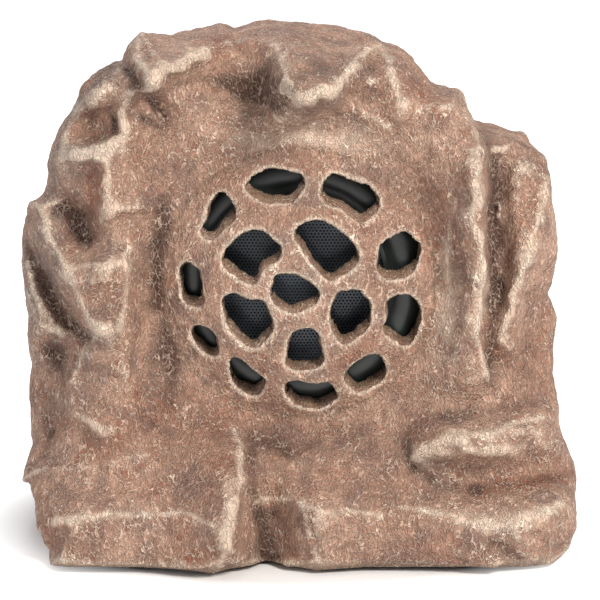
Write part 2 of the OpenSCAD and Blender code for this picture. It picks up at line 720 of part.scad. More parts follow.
// Amplifier board on four turned spacers, with its largest parts
module amplifier_board() {
    z = board_z;
    color("#1f5a3a") {
        difference() {
            translate([board_c.x - board_l / 2, board_c.y - board_w / 2, z]) cube([board_l, board_w, board_t]);
            at_board_corners(z - 1) cylinder(r = 1.7, h = board_t + 2, $fn = 24);
        }
        translate([board_c.x - 18, board_c.y - 8, z + board_t]) cube([16, 12, 8]);
        for (i = [0 : 2]) translate([board_c.x + 4 + i * 8, board_c.y - 12, z + board_t])
            cylinder(r = 3, h = 9, $fn = 32);
        translate([board_c.x - 8, board_c.y + board_w / 2 - 9, z + board_t]) cube([22, 6, 5]);
        at_board_corners(plate_top) difference() {
            cylinder(r = 3, h = board_z - plate_top, $fn = 32);
            translate([0, 0, -1]) cylinder(r = 1.4, h = board_z, $fn = 24);
        }
    }
}

module board_screws() {
    color("#9a9c9e") at_board_corners(board_z + board_t) {
        translate([0, 0, -board_t - 4]) cylinder(r = 1.3, h = board_t + 4, $fn = 24);
        cylinder(r = 2.6, h = 1.5, $fn = 32);
    }
}

// Radio module soldered flat on the amplifier board, under a screening can
module bluetooth_module() {
    color("#a9adb0") translate([board_c.x - 22, board_c.y + 6, board_z + board_t]) {
        cube([13, 10, 0.8]);
        translate([1, 1, 0.8]) cube([9, 8, 1.8]);
    }
}

battery_x = -44;
battery_y = 22;
strap_foot = 8;
strap_t = 1.5;
strap_screw_r = 1.4;
strap_screw_x = battery_l / 2 + 0.65 * strap_foot;
module at_strap_screws(z) {
    for (s = [-1, 1]) translate([s * strap_screw_x + battery_x, battery_y, z]) children();
}

// Two cells side by side in one sealed sleeve
module battery_pack() {
    r = cell_d / 2;
    color("#2f6fb0") translate([battery_x, battery_y, plate_top + r]) rotate([0, 90, 0]) rotate([0, 0, 90])
        translate([0, 0, -battery_l / 2]) linear_extrude(battery_l) union() {
            for (s = [-1, 1]) translate([s * r, 0]) circle(r, $fn = 64);
            square([2 * r, 2 * r], center = true);
        }
}

// Steel strap that holds the battery down along its length
module battery_strap() {
    h = cell_d + 0.4;
    l = battery_l + 1;
    w = 14;
    color("#7d8084") translate([battery_x, battery_y - w / 2, plate_top]) rotate([90, 0, 0]) mirror([0, 0, 1])
        difference() {
            linear_extrude(w) polygon([
                [-l / 2 - strap_foot, 0], [-l / 2, 0], [-l / 2, h],
                [l / 2, h], [l / 2, 0], [l / 2 + strap_foot, 0],
                [l / 2 + strap_foot, strap_t], [l / 2 + strap_t, strap_t], [l / 2 + strap_t, h + strap_t],
                [-l / 2 - strap_t, h + strap_t], [-l / 2 - strap_t, strap_t], [-l / 2 - strap_foot, strap_t]
            ]);
            for (s = [-1, 1]) translate([s * strap_screw_x, -1, w / 2]) rotate([-90, 0, 0])
                cylinder(r = strap_screw_r + screw_gap, h = 4, $fn = 24);
        }
}

module strap_screws() {
    color("#9a9c9e")
        at_strap_screws(plate_top + strap_t) {
            translate([0, 0, 0.2 - strap_t - plate_t])
                cylinder(r = strap_screw_r, h = strap_t + plate_t, $fn = 24);
            cylinder(r = 2.4, h = 1.6, $fn = 32);
        }
}

panel_screw_r = 1.5;
module at_panel_screws(y) {
    for (sx = [-1, 1], sz = [-1, 1])
        translate([sx * (panel_w / 2 - 3.6), y, panel_z + sz * (panel_h / 2 - 3.6)]) rotate([-90, 0, 0]) children();
}

button_row_z = panel_z + 9;
port_row_z = panel_z - 9;
button_x = [for (i = [0 : 3]) (1.5 - i) * button_pitch];
charging_x = 8;
aux_x = -8;
light_x = 0;
light_z = panel_z + 14;
cover_seat_t = 1.2;
socket_w = 11;
panel_back_y = panel_seat_y - tray_depth;
tray_fit = 0.4;
tray_w = window_w - 2 * tray_fit;
tray_h = window_h - 2 * tray_fit;
control_board_y = panel_back_y + 1;

// One lug each side of the port cover, bored for the cover's hinge pin
hinge_z = port_row_z - cover_h / 2 - 0.5;
hinge_y = panel_face_y + 1.6;
hinge_r = 0.9;
lug_w = 2.5;
cover_gap = 0.3;
module hinge_lugs() {
    for (s = [-1, 1]) translate([s * (cover_w / 2 + cover_gap + lug_w / 2), hinge_y, hinge_z]) difference() {
        union() {
            rotate([0, 90, 0]) cylinder(r = 1.7, h = lug_w, center = true, $fn = 32);
            translate([-lug_w / 2, -1.7, -1.7]) cube([lug_w, 1.7, 3.4]);
        }
        rotate([0, 90, 0]) cylinder(r = hinge_r + 0.05, h = lug_w + 2, center = true, $fn = 32);
    }
}

// Moulded panel: a flat face that seats in the rock, and a shallow tray behind it
module control_panel() {
    color("#1e1f21") {
        difference() {
            union() {
                panel_block(panel_w, panel_h, panel_seat_y, panel_face_y);
                difference() {
                    panel_block(tray_w, tray_h, panel_back_y, panel_seat_y + 1);
                    panel_block(tray_w - 4, tray_h - 4, panel_back_y - 1, panel_seat_y);
                }
            }
            for (x = button_x) translate([x, panel_seat_y - 1, button_row_z]) rotate([-90, 0, 0])
                cylinder(r = button_r + button_gap, h = panel_t + 2, $fn = 64);
            translate([light_x, panel_seat_y - 1, light_z]) rotate([-90, 0, 0])
                cylinder(r = light_r + 0.1, h = panel_t + 2, $fn = 32);
            for (x = [charging_x, aux_x]) translate([x, panel_seat_y - 1, port_row_z]) rotate([-90, 0, 0])
                cylinder(r = 4.1, h = panel_t + 2, $fn = 48);
            at_panel_screws(panel_seat_y - 1) cylinder(r = panel_screw_r + screw_gap, h = panel_t + 2, $fn = 24);
            at_panel_screws(panel_face_y - 1.4)
                cylinder(r1 = panel_screw_r + screw_gap, r2 = panel_head_r + screw_gap, h = 1.41, $fn = 32);
        }
        hinge_lugs();
    }
}

module panel_gasket() {
    color("#2b2b2b") difference() {
        panel_block(panel_w, panel_h, panel_seat_y - seal_t, panel_seat_y);
        panel_block(window_w, window_h, panel_seat_y - seal_t - 1, panel_seat_y + 1);
        at_panel_screws(panel_seat_y - 2) cylinder(r = panel_screw_r + screw_gap, h = 4, $fn = 24);
    }
}

panel_head_r = 2.8;
module panel_screws() {
    color("#9a9c9e") at_panel_screws(panel_face_y) difference() {
        union() {
            translate([0, 0, -panel_t - 8]) cylinder(r = panel_screw_r, h = panel_t + 8, $fn = 24);
            translate([0, 0, -1.4]) cylinder(r1 = panel_screw_r, r2 = panel_head_r, h = 1.4, $fn = 32);
        }
        for (a = [0, 90]) rotate(a) translate([-1.6, -0.35, -0.9]) cube([3.2, 0.7, 2]);
    }
}

board_back_w = tray_w - 5;
board_back_h = tray_h - 5;
module control_board() {
    color("#1f5a3a") panel_block(board_back_w, board_back_h, control_board_y, control_board_y + board_t);
}

button_head_t = 1.4;
button_stem_y = panel_seat_y - 0.2 - button_head_t;
switch_y = control_board_y + board_t;
switch_top_y = button_stem_y - button_travel - 0.3;
module tact_switches() {
    color("#3c3d40") for (x = button_x) {
        translate([x - 3, switch_y, button_row_z - 3]) cube([6, switch_top_y - switch_y - 1.2, 6]);
        translate([x, switch_top_y - 1.3, button_row_z]) rotate([-90, 0, 0]) cylinder(r = 1.7, h = 1.3, $fn = 32);
    }
}

// A cap with a collar behind the panel that keeps it in
module button(x) {
    translate([x, button_stem_y, button_row_z]) rotate([-90, 0, 0]) {
        cylinder(r = button_r + 1.2, h = button_head_t, $fn = 64);
        cylinder(r = button_r, h = button_head_t + panel_t + 1.2, $fn = 64);
        translate([0, 0, button_head_t + panel_t + 1.2])
            cylinder(r1 = button_r, r2 = button_r - 0.5, h = 0.5, $fn = 64);
    }
}

module power_button() {
    color("#b5332c") button(button_x[0]);
}

module pair_button() {
    color("#3b3c3f") button(button_x[1]);
}

module volume_down_button() {
    color("#3b3c3f") button(button_x[2]);
}

module volume_up_button() {
    color("#3b3c3f") button(button_x[3]);
}

light_r = 1.5;
module status_light() {
    color("#dfe8ee") translate([light_x, switch_y, light_z]) rotate([-90, 0, 0])
        cylinder(r = light_r, h = panel_face_y - switch_y + 0.3, $fn = 32);
}

socket_depth = panel_seat_y - switch_y;
// Charging inlet with its centre pin
module charging_socket() {
    color("#151515") translate([charging_x, switch_y, port_row_z]) rotate([-90, 0, 0]) difference() {
        union() {
            translate([-socket_w / 2, -socket_w / 2, 0]) cube([socket_w, socket_w, socket_depth - 0.2]);
            cylinder(r = 4, h = socket_depth + panel_t - cover_seat_t, $fn = 48);
        }
        translate([0, 0, 2]) difference() {
            cylinder(r = 2.9, h = socket_depth + panel_t, $fn = 48);
            cylinder(r = 1, h = socket_depth - 1, $fn = 32);
        }
    }
}

// Audio socket with a plain round bore
module aux_socket() {
    color("#151515") translate([aux_x, switch_y, port_row_z]) rotate([-90, 0, 0]) difference() {
        union() {
            translate([-socket_w / 2 + 1, -socket_w / 2, 0]) cube([socket_w - 2, socket_w, socket_depth - 0.2]);
            cylinder(r = 4, h = socket_depth + panel_t - cover_seat_t, $fn = 48);
        }
        translate([0, 0, socket_depth + panel_t - cover_seat_t - aux_depth])
            cylinder(r = aux_r, h = aux_depth + 1, $fn = 48);
    }
}

// Silicone cover hinged along its lower edge, with a plug for each socket and a finger tab on top
module port_cover() {
    t = 1.8;
    y = panel_face_y + 0.2;
    color("#2a2b2d") {
        difference() {
            translate([-cover_w / 2, y, hinge_z]) cube([cover_w, t, cover_h + 0.5]);
            translate([-cover_w / 2 - 1, y - 1, hinge_z - 3]) cube([cover_w + 2, t + 4, 3]);
        }
        translate([0, hinge_y, hinge_z]) rotate([0, 90, 0])
            cylinder(r = 1.3, h = cover_w, center = true, $fn = 32);
        translate([0, hinge_y, hinge_z]) rotate([0, 90, 0])
            cylinder(r = hinge_r, h = cover_w + 2 * (cover_gap + lug_w), center = true, $fn = 32);
        translate([-5, y, hinge_z + cover_h + 0.5]) cube([10, t + 0.8, 2.4]);
    }
}

rock_shell();
base_plate();
rubber_feet();
base_screws();
pod_gasket();
pod_baffle();
pod_can();
pod_screws();
grille_ring();
speaker_grille();
driver_gasket();
driver_basket();
driver_screws();
top_plate();
magnet();
back_plate();
spider();
voice_coil();
cone();
dust_cap();
surround();
terminal_strip();
amplifier_board();
board_screws();
bluetooth_module();
battery_pack();
battery_strap();
strap_screws();
control_panel();
panel_gasket();
panel_screws();
control_board();
tact_switches();
power_button();
pair_button();
volume_down_button();
volume_up_button();
status_light();
charging_socket();
aux_socket();
port_cover();
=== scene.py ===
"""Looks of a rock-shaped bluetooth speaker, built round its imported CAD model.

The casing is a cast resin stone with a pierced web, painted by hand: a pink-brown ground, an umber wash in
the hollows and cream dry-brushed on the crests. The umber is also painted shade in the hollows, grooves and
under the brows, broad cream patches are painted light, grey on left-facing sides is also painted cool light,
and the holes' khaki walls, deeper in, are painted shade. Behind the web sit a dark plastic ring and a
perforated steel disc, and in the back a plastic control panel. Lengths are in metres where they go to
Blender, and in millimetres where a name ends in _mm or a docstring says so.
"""

import json
import logging
import math
from dataclasses import dataclass, field
from enum import Enum
from typing import Iterable

import bmesh
import bpy
import numpy as np
from mathutils import Matrix, Vector, geometry
from mathutils.bvhtree import BVHTree

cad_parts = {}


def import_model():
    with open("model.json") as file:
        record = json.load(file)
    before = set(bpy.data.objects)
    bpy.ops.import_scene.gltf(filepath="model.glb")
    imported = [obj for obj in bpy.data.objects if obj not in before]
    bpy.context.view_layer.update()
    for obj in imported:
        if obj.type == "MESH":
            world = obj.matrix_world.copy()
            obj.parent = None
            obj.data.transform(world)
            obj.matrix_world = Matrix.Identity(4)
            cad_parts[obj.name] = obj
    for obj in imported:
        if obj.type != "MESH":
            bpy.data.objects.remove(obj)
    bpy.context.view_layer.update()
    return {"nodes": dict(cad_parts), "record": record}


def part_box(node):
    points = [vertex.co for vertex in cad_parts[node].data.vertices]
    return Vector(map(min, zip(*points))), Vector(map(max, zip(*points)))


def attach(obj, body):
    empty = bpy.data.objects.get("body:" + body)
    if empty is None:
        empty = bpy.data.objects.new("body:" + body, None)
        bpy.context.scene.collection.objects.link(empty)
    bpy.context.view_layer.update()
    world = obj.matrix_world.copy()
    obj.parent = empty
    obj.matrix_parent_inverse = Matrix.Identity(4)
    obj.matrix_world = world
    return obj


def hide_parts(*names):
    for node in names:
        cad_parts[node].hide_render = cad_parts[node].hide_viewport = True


LOG = logging.getLogger("speaker")
MM = 0.001
PICTURE = 600
Point = tuple[float, float]
Links = dict[str, object]


def linear(hex_colour: str) -> tuple[float, float, float, float]:
    """Turns an sRGB hex colour into linear light.

    Args:
        hex_colour: Six hex digits, with or without a leading #.

    Returns:
        Red, green, blue and an alpha of 1.
    """
    digits = hex_colour.lstrip("#")
    parts = [int(digits[i : i + 2], 16) / 255 for i in (0, 2, 4)]
    return (*[p / 12.92 if p <= 0.04045 else ((p + 0.055) / 1.055) ** 2.4 for p in parts], 1.0)


def smoothstep(low: float, high: float, value: np.ndarray) -> np.ndarray:
    """Rises smoothly from 0 at low to 1 at high."""
    t = np.clip((value - low) / (high - low), 0.0, 1.0)
    return t * t * (3 - 2 * t)


# Camera and drawing


@dataclass(frozen=True)
class FrontDrawing:
    """The front view that the rock's marks are drawn on, 600 units wide, and the camera that sees it.

    Lengths are in millimetres.
    """

    elevation: float = math.radians(11)
    target: tuple[float, float, float] = (0.5, 0.0, 112.0)
    distance: float = 1250.0
    lens: float = 150.0
    sensor: float = 36.0

    @property
    def scale(self) -> float:
        """Drawing units that a length has at a distance equal to it."""
        return PICTURE * self.lens / self.sensor

    def project(self, points: np.ndarray) -> tuple[np.ndarray, np.ndarray, np.ndarray]:
        """Places points on the drawing.

        Args:
            points: Rows of x, y, z in millimetres.

        Returns:
            Across, down and the distance along the view, one value for each point.
        """
        s, c = math.sin(self.elevation), math.cos(self.elevation)
        x, y, z = (points[:, i] - self.target[i] for i in range(3))
        away = self.distance + y * c - z * s
        half = PICTURE / 2
        return half + self.scale * x / away, half - self.scale * (y * s + z * c) / away, away

    @property
    def view(self) -> np.ndarray:
        """The direction from the stone to the camera."""
        return np.array([0.0, -math.cos(self.elevation), math.sin(self.elevation)])

    def make_camera(self) -> None:
        """Adds the camera and makes it the scene's."""
        data = bpy.data.cameras.new("front_camera")
        data.lens, data.sensor_width = self.lens, self.sensor
        data.clip_start, data.clip_end = 0.05, 20.0
        camera = bpy.data.objects.new("front_camera", data)
        bpy.context.scene.collection.objects.link(camera)
        back = Vector(self.view)
        camera.location = (Vector(self.target) + back * self.distance) * MM
        camera.rotation_euler = (-back).to_track_quat("-Z", "Y").to_euler()
        bpy.context.scene.camera = camera


# Materials


@dataclass
class Graph:
    """A node tree while it is put together, a material's or the world's."""

    tree: bpy.types.NodeTree

    def add(self, kind: str, links: Links | None = None, **settings: object) -> bpy.types.Node:
        """Adds a node.

        Args:
            kind: The node's type.
            links: What goes to each input, by name or number: a node, an output socket or a plain value.
            settings: The node's own settings.

        Returns:
            The node.
        """
        node = self.tree.nodes.new(kind)
        for key, value in settings.items():
            setattr(node, key, value)
        for key, value in (links or {}).items():
            self.plug(node.inputs[key], value)
        return node

    def plug(self, socket: bpy.types.NodeSocket, value: object) -> None:
        """Gives an input what feeds it.

        Args:
            socket: The input.
            value: A node, whose first output in use is taken, an output socket or a plain value.
        """
        if isinstance(value, bpy.types.Node):
            value = next(output for output in value.outputs if output.enabled)
        if isinstance(value, bpy.types.NodeSocket):
            self.tree.links.new(value, socket)
        else:
            socket.default_value = value


class MaterialGraph(Graph):
    """A new material with one shader, and its node tree."""

    def __init__(self, name: str) -> None:
        """Starts the material.

        Args:
            name: What the real stuff is called.
        """
        self.material = bpy.data.materials.new(name)
        self.material.use_nodes = True
        super().__init__(self.material.node_tree)
        self.tree.nodes.clear()
        self.surface = self.add("ShaderNodeBsdfPrincipled")
        self.add("ShaderNodeOutputMaterial", {"Surface": self.surface})

    def feed(self, **links: object) -> None:
        """Gives the shader's inputs their values, with underscores for spaces."""
        for key, value in links.items():
            self.plug(self.surface.inputs[key.replace("_", " ")], value)


# Finishes


class Paint(Enum):
    """Attributes of the stone's mesh that say where each coat of paint lies, painted shade and painted light
    among them.
    """

    # cream dry-brush on the crests, and broad cream patches that are painted light
    CREAM_AND_LIGHT = "cream_and_light"
    # umber wash, which also lays painted shade in hollows, grooves and under the brows
    WASH_AND_SHADE = "wash_and_shade"
    RUST = "rust"
    # grey weathering, and painted cool light on the left-facing sides
    GREY_AND_COOL_LIGHT = "grey"
    # khaki of the holes' walls and the hollow inside; deeper into the holes it is painted shade
    WALL = "wall"


@dataclass(frozen=True)
class Layer:
    """A colour laid over those under it, where a pattern's value runs from start to full.

    Its cover runs from least to most, and lies only where a coat of paint lies, if it names one.
    """

    pattern: str
    tint: str
    start: float
    full: float
    least: float = 0.0
    most: float = 1.0
    coat: Paint | None = None


@dataclass(frozen=True)
class CastStone:
    """Cast resin stone, hand painted: matt, wrinkled, with an umber wash under a cream dry-brush, the umber
    also painted shade and the cream also painted light.
    """

    ground: str = "#b08873"
    # umber lays the wash and the painted shade, cream the dry-brush and the painted light, khaki the holes'
    # walls and their painted shade
    umber: str = "#4c3329"
    cream_and_light: str = "#f3dec8"
    khaki: str = "#6b5540"
    # on the pink-brown ground lie paler, redder and mauve patches, rust stains, and grey that is weathering
    # and also painted cool light on left-facing sides
    layers: tuple[Layer, ...] = (
        Layer("broad", "#d0a891", 0.38, 0.64),
        Layer("patch", "#8c5a47", 0.48, 0.66, most=0.75),
        Layer("drift", "#86695f", 0.48, 0.64, most=0.7),
        Layer("patch", "#9a5335", 0.3, 0.6, least=0.3, coat=Paint.RUST),
        Layer("height", "#a39a95", 0.2, 0.7, least=0.35, coat=Paint.GREY_AND_COOL_LIGHT),
    )
    # the real wrinkles lie about 2 mm apart and curl within some 7 mm; their crests are drawn wider apart,
    # at 3.3 mm, so that they show in the render
    wrinkle_mm: float = 3.3
    curl_mm: float = 7.0
    small_curl_mm: float = 1.7
    net_mm: float = 2.5
    grain_mm: float = 1.1
    bend_m: float = 0.006
    small_bend_m: float = 0.0013

    def skin(self, g: MaterialGraph, where: object) -> tuple[bpy.types.Node, bpy.types.Node, bpy.types.Node]:
        """Adds the wrinkled skin: noise bent by a wider noise, whose middle lines stand up as thin crests.

        Args:
            g: The material's graph.
            where: The place.

        Returns:
            Wide crests, narrow crests, and the height of the whole skin.
        """
        where = g.add("ShaderNodeMapping", {"Vector": where, "Scale": (1.0, 1.0, 0.55)})
        places = [where]
        for size_mm, reach in ((self.curl_mm, self.bend_m), (self.small_curl_mm, self.small_bend_m)):
            curl = g.add("ShaderNodeTexNoise", {"Vector": where, "Scale": 1 / (size_mm * MM), "Detail": 1.0})
            moved = {0: curl.outputs["Color"], 1: (reach, reach, reach), 2: places[-1]}
            places.append(g.add("ShaderNodeVectorMath", moved, operation="MULTIPLY_ADD"))
        _, bent, curled = places
        scale = 1 / (self.wrinkle_mm * MM)
        swell = g.add("ShaderNodeTexNoise", {"Vector": curled, "Scale": scale, "Detail": 1.5})
        off = g.add("ShaderNodeMath", {0: swell, 1: 0.5}, operation="SUBTRACT")
        off = g.add("ShaderNodeMath", {0: off}, operation="ABSOLUTE")
        net = g.add(
            "ShaderNodeTexVoronoi",
            {"Vector": curled, "Scale": 1 / (self.net_mm * MM)},
            feature="DISTANCE_TO_EDGE",
        )
        wide, narrow = (
            g.add(
                "ShaderNodeMapRange",
                {"Value": value, "From Min": 0.0, "From Max": reach, "To Min": 1.0, "To Max": 0.0},
                interpolation_type="SMOOTHSTEP",
            )
            for value, reach in ((off, 0.028), (net, 0.11))
        )
        scale = 1 / (self.grain_mm * MM)
        grain = g.add("ShaderNodeTexNoise", {"Vector": bent, "Scale": scale, "Detail": 2.0})
        height = 0.0
        for value, share in ((wide, 0.5), (narrow, 0.4), (grain, 0.8)):
            height = g.add("ShaderNodeMath", {0: value, 1: share, 2: height}, operation="MULTIPLY_ADD")
        return wide, narrow, height

    def under_coats(self, g: MaterialGraph, patterns: Links, coat: Links) -> bpy.types.Node:
        """Adds the ground, its layers, the umber wash with its painted shade, and the khaki that the holes'
        walls turn deeper in, as painted shade.

        Args:
            g: The material's graph.
            patterns: The patterns that the layers name.
            coat: The stone's coats of paint.

        Returns:
            The colour.
        """
        colour = linear(self.ground)
        for layer in self.layers:
            share = g.add(
                "ShaderNodeMapRange",
                {
                    "Value": patterns[layer.pattern],
                    "From Min": layer.start,
                    "From Max": layer.full,
                    "To Min": layer.least,
                    "To Max": layer.most,
                },
            )
            if layer.coat:
                share = g.add("ShaderNodeMath", {0: coat[layer.coat], 1: share}, operation="MULTIPLY")
            colour = g.add("ShaderNodeMix", {0: share, 6: colour, 7: linear(layer.tint)}, data_type="RGBA")
        # umber wash: a little between the wrinkles, thick where it ran into the hollows, where it is also
        # painted shade
        skin = patterns["height"]
        low = g.add("ShaderNodeMapRange", {"Value": skin, "From Min": 0.62, "From Max": 0.3, "To Max": 0.5})
        pooled_and_shaded = g.add("ShaderNodeMapRange", {"Value": skin, "From Min": 1.1, "From Max": 0.35, "To Min": 0.6})
        pooled_and_shaded = g.add("ShaderNodeMath", {0: coat[Paint.WASH_AND_SHADE], 1: pooled_and_shaded}, operation="MULTIPLY")
        washed_and_shaded = g.add("ShaderNodeMath", {0: low, 1: pooled_and_shaded}, operation="MAXIMUM")
        # the holes' walls turn khaki deeper in, as painted shade
        walls = g.add("ShaderNodeMath", {0: coat[Paint.WALL], 1: 0.85}, operation="MULTIPLY")
        for share, tint in ((washed_and_shaded, self.umber), (walls, self.khaki)):
            colour = g.add("ShaderNodeMix", {0: share, 6: colour, 7: linear(tint)}, data_type="RGBA")
        return colour

    def make(self) -> bpy.types.Material:
        """Builds the material.

        Returns:
            The painted stone.
        """
        g = MaterialGraph("painted_cast_stone")
        where = g.add("ShaderNodeTexCoord").outputs["Object"]
        coat = {p: g.add("ShaderNodeAttribute", attribute_name=p.value).outputs["Fac"] for p in Paint}
        wide, narrow, height = self.skin(g, where)
        patterns: Links = {"height": height}
        for name, size_mm, detail, rough in (
            ("broad", 30, 4.0, 0.5),
            ("patch", 9, 5.0, 0.6),
            ("drift", 16, 3.0, 0.5),
            ("fine", 1.3, 3.0, 0.5),
        ):
            scale = 1 / (size_mm * MM)
            patterns[name] = g.add(
                "ShaderNodeTexNoise", {"Vector": where, "Scale": scale, "Detail": detail, "Roughness": rough}
            )
        colour = self.under_coats(g, patterns, coat)
        # cream dry-brush: thin on the wrinkles' crests, thick along the stone's ridges and over the broad
        # patches of painted light
        reach = g.add(
            "ShaderNodeMapRange",
            {"Value": patterns["patch"], "From Min": 0.36, "From Max": 0.66, "To Min": 0.05, "To Max": 0.8},
        )
        reach = g.add("ShaderNodeMath", {0: coat[Paint.CREAM_AND_LIGHT], 1: 1.3, 2: reach}, operation="MULTIPLY_ADD")
        line = g.add("ShaderNodeMath", {0: narrow, 1: 0.8}, operation="MULTIPLY")
        line = g.add("ShaderNodeMath", {0: wide, 1: line}, operation="MAXIMUM")
        skip = g.add(
            "ShaderNodeMapRange",
            {"Value": patterns["fine"], "From Min": 0.32, "From Max": 0.52, "To Min": 0.1},
        )
        line = g.add("ShaderNodeMath", {0: line, 1: skip}, operation="MULTIPLY")
        # the wrinkles' crests take cream more where the coat is thick, also over the patches of painted light
        brushed = g.add("ShaderNodeMath", {0: line, 1: reach}, operation="MULTIPLY")
        thick = g.add("ShaderNodeMapRange", {"Value": coat[Paint.CREAM_AND_LIGHT], "From Min": 0.25, "From Max": 0.8})
        veined = g.add("ShaderNodeMath", {0: line, 1: 0.5, 2: 0.52}, operation="MULTIPLY_ADD")
        thick = g.add("ShaderNodeMath", {0: thick, 1: veined}, operation="MULTIPLY")
        share = g.add("ShaderNodeMath", {0: brushed, 1: thick}, operation="MAXIMUM")
        colour = g.add("ShaderNodeMix", {0: share, 6: colour, 7: linear(self.cream_and_light)}, data_type="RGBA")
        bump = g.add("ShaderNodeBump", {"Height": height, "Strength": 1.0, "Distance": 1.5 * MM})
        rough = g.add(
            "ShaderNodeMapRange",
            {"Value": height, "From Min": 0.2, "From Max": 0.9, "To Min": 0.8, "To Max": 0.6},
        )
        g.feed(Base_Color=colour, Roughness=rough, IOR=1.5, Specular_IOR_Level=0.35, Normal=bump)
        return g.material


class Grit(Enum):
    """How a plain surface was made, with the size of its grain in millimetres and the bump's height."""

    SPARK_ERODED = (0.45, 0.05)
    SATIN_MOULDED = (1.2, 0.02)
    BRUSHED = (0.3, 0.02)
    CAST = (0.7, 0.06)
    FOAMED = (0.9, 0.2)
    PRESSED_PAPER = (0.8, 0.08)
    WOVEN = (0.6, 0.1)


@dataclass(frozen=True)
class PlainFinish:
    """A finish of one stuff: moulded plastic, rubber, plated or painted steel, paper, foam or board.

    Its colour varies a little in blotches, its grain roughens it, and it is paler or duller in patches where
    it was handled.
    """

    name: str
    colour: str
    second: str
    grit: Grit
    roughness: float
    metallic: float = 0.0
    coat: float = 0.0
    stretch: tuple[float, float, float] = (1.0, 1.0, 1.0)

    def make(self) -> bpy.types.Material:
        """Builds the material.

        Returns:
            The finish, named for its stuff.
        """
        g = MaterialGraph(self.name)
        size_mm, height_mm = self.grit.value
        where = g.add("ShaderNodeTexCoord").outputs["Object"]
        where = g.add("ShaderNodeMapping", {"Vector": where, "Scale": self.stretch})
        grain = g.add("ShaderNodeTexNoise", {"Vector": where, "Scale": 1 / (size_mm * MM), "Detail": 3.0})
        blotch = g.add("ShaderNodeTexNoise", {"Vector": where, "Scale": 1 / (14 * MM), "Detail": 4.0})
        share = g.add("ShaderNodeMapRange", {"Value": blotch, "From Min": 0.38, "From Max": 0.68})
        tints = {0: share, 6: linear(self.colour), 7: linear(self.second)}
        colour = g.add("ShaderNodeMix", tints, data_type="RGBA")
        dullest = min(1.0, self.roughness * 1.15)
        rough = g.add(
            "ShaderNodeMapRange",
            {
                "Value": blotch,
                "From Min": 0.3,
                "From Max": 0.7,
                "To Min": self.roughness * 0.85,
                "To Max": dullest,
            },
        )
        bump = g.add("ShaderNodeBump", {"Height": grain, "Strength": 1.0, "Distance": height_mm * MM})
        g.feed(Base_Color=colour, Roughness=rough, Metallic=self.metallic, Coat_Weight=self.coat, Normal=bump)
        return g.material


@dataclass(frozen=True)
class ClearLens:
    """Clear moulded acrylic over a small light: glossy, faintly milky."""

    tint: str = "#cdd3d1"
    haze_mm: float = 1.5

    def make(self) -> bpy.types.Material:
        """Builds the material.

        Returns:
            The acrylic.
        """
        g = MaterialGraph("clear_acrylic")
        where = g.add("ShaderNodeTexCoord").outputs["Object"]
        haze = g.add("ShaderNodeTexNoise", {"Vector": where, "Scale": 1 / (self.haze_mm * MM)})
        rough = g.add("ShaderNodeMapRange", {"Value": haze, "To Min": 0.3, "To Max": 0.5})
        g.feed(Base_Color=linear(self.tint), Roughness=rough, Transmission_Weight=0.25, IOR=1.49)
        return g.material


# The finish of each of the record's slots
PLAIN: dict[str, PlainFinish] = {
    # plastics from spark-eroded moulds look dull and finely grained
    "black_plastic": PlainFinish("moulded_black_abs", "#1b1c1d", "#242526", Grit.SPARK_ERODED, 0.55),
    "grey_plastic": PlainFinish("moulded_grey_abs", "#4b4d4f", "#55575a", Grit.SPARK_ERODED, 0.5),
    # plastics from polished moulds carry a soft, wide highlight
    "ring_plastic": PlainFinish("satin_dark_green_black_abs", "#1a201e", "#232b28", Grit.SATIN_MOULDED, 0.36),
    "red_plastic": PlainFinish("moulded_red_abs", "#a3241c", "#8a1d18", Grit.SATIN_MOULDED, 0.4),
    "socket_plastic": PlainFinish("moulded_nylon", "#101112", "#1b1c1d", Grit.SATIN_MOULDED, 0.42),
    "battery_sleeve": PlainFinish("shrunk_blue_vinyl", "#1e4f94", "#1a4583", Grit.SATIN_MOULDED, 0.3),
    "circuit_board": PlainFinish("solder_masked_glass_board", "#14502f", "#0f4528", Grit.SATIN_MOULDED, 0.35),
    # rubber, silicone and foam hardly shine at all
    "rubber": PlainFinish("moulded_rubber", "#1a1a1a", "#262626", Grit.CAST, 0.85),
    "silicone": PlainFinish("matt_silicone", "#202122", "#2b2c2d", Grit.SATIN_MOULDED, 0.7),
    "foam": PlainFinish("closed_cell_foam", "#262627", "#323334", Grit.FOAMED, 0.95),
    # plated and painted steels reflect, with a slight grain from the plating or the paint
    "screw_steel": PlainFinish("zinc_plated_screw_steel", "#9a9da0", "#7f8286", Grit.BRUSHED, 0.35, 1.0),
    "zinc_steel": PlainFinish("zinc_plated_steel", "#8b8e92", "#75787c", Grit.CAST, 0.42, 1.0),
    "grille_steel": PlainFinish("grey_black_coated_steel", "#3f444b", "#4d535b", Grit.CAST, 0.36, 0.35, 0.2),
    "basket_steel": PlainFinish("black_painted_steel", "#1b1b1d", "#28282b", Grit.CAST, 0.5),
    "copper": PlainFinish("enamelled_copper", "#b4693a", "#9c5527", Grit.BRUSHED, 0.3, 1.0, 0.3, (1, 8, 1)),
    # the driver's papers, cloth and ceramic are matt and rough
    "ferrite": PlainFinish("sintered_ferrite", "#2c2b2d", "#3a393b", Grit.CAST, 0.75),
    "spider_cloth": PlainFinish("resin_dipped_cloth", "#b98a3e", "#a37733", Grit.WOVEN, 0.85),
    "cone_paper": PlainFinish("pressed_black_paper", "#202022", "#2c2c2f", Grit.PRESSED_PAPER, 0.88),
    "terminal_board": PlainFinish("phenolic_board", "#8a5a33", "#7a4d2a", Grit.PRESSED_PAPER, 0.6),
}


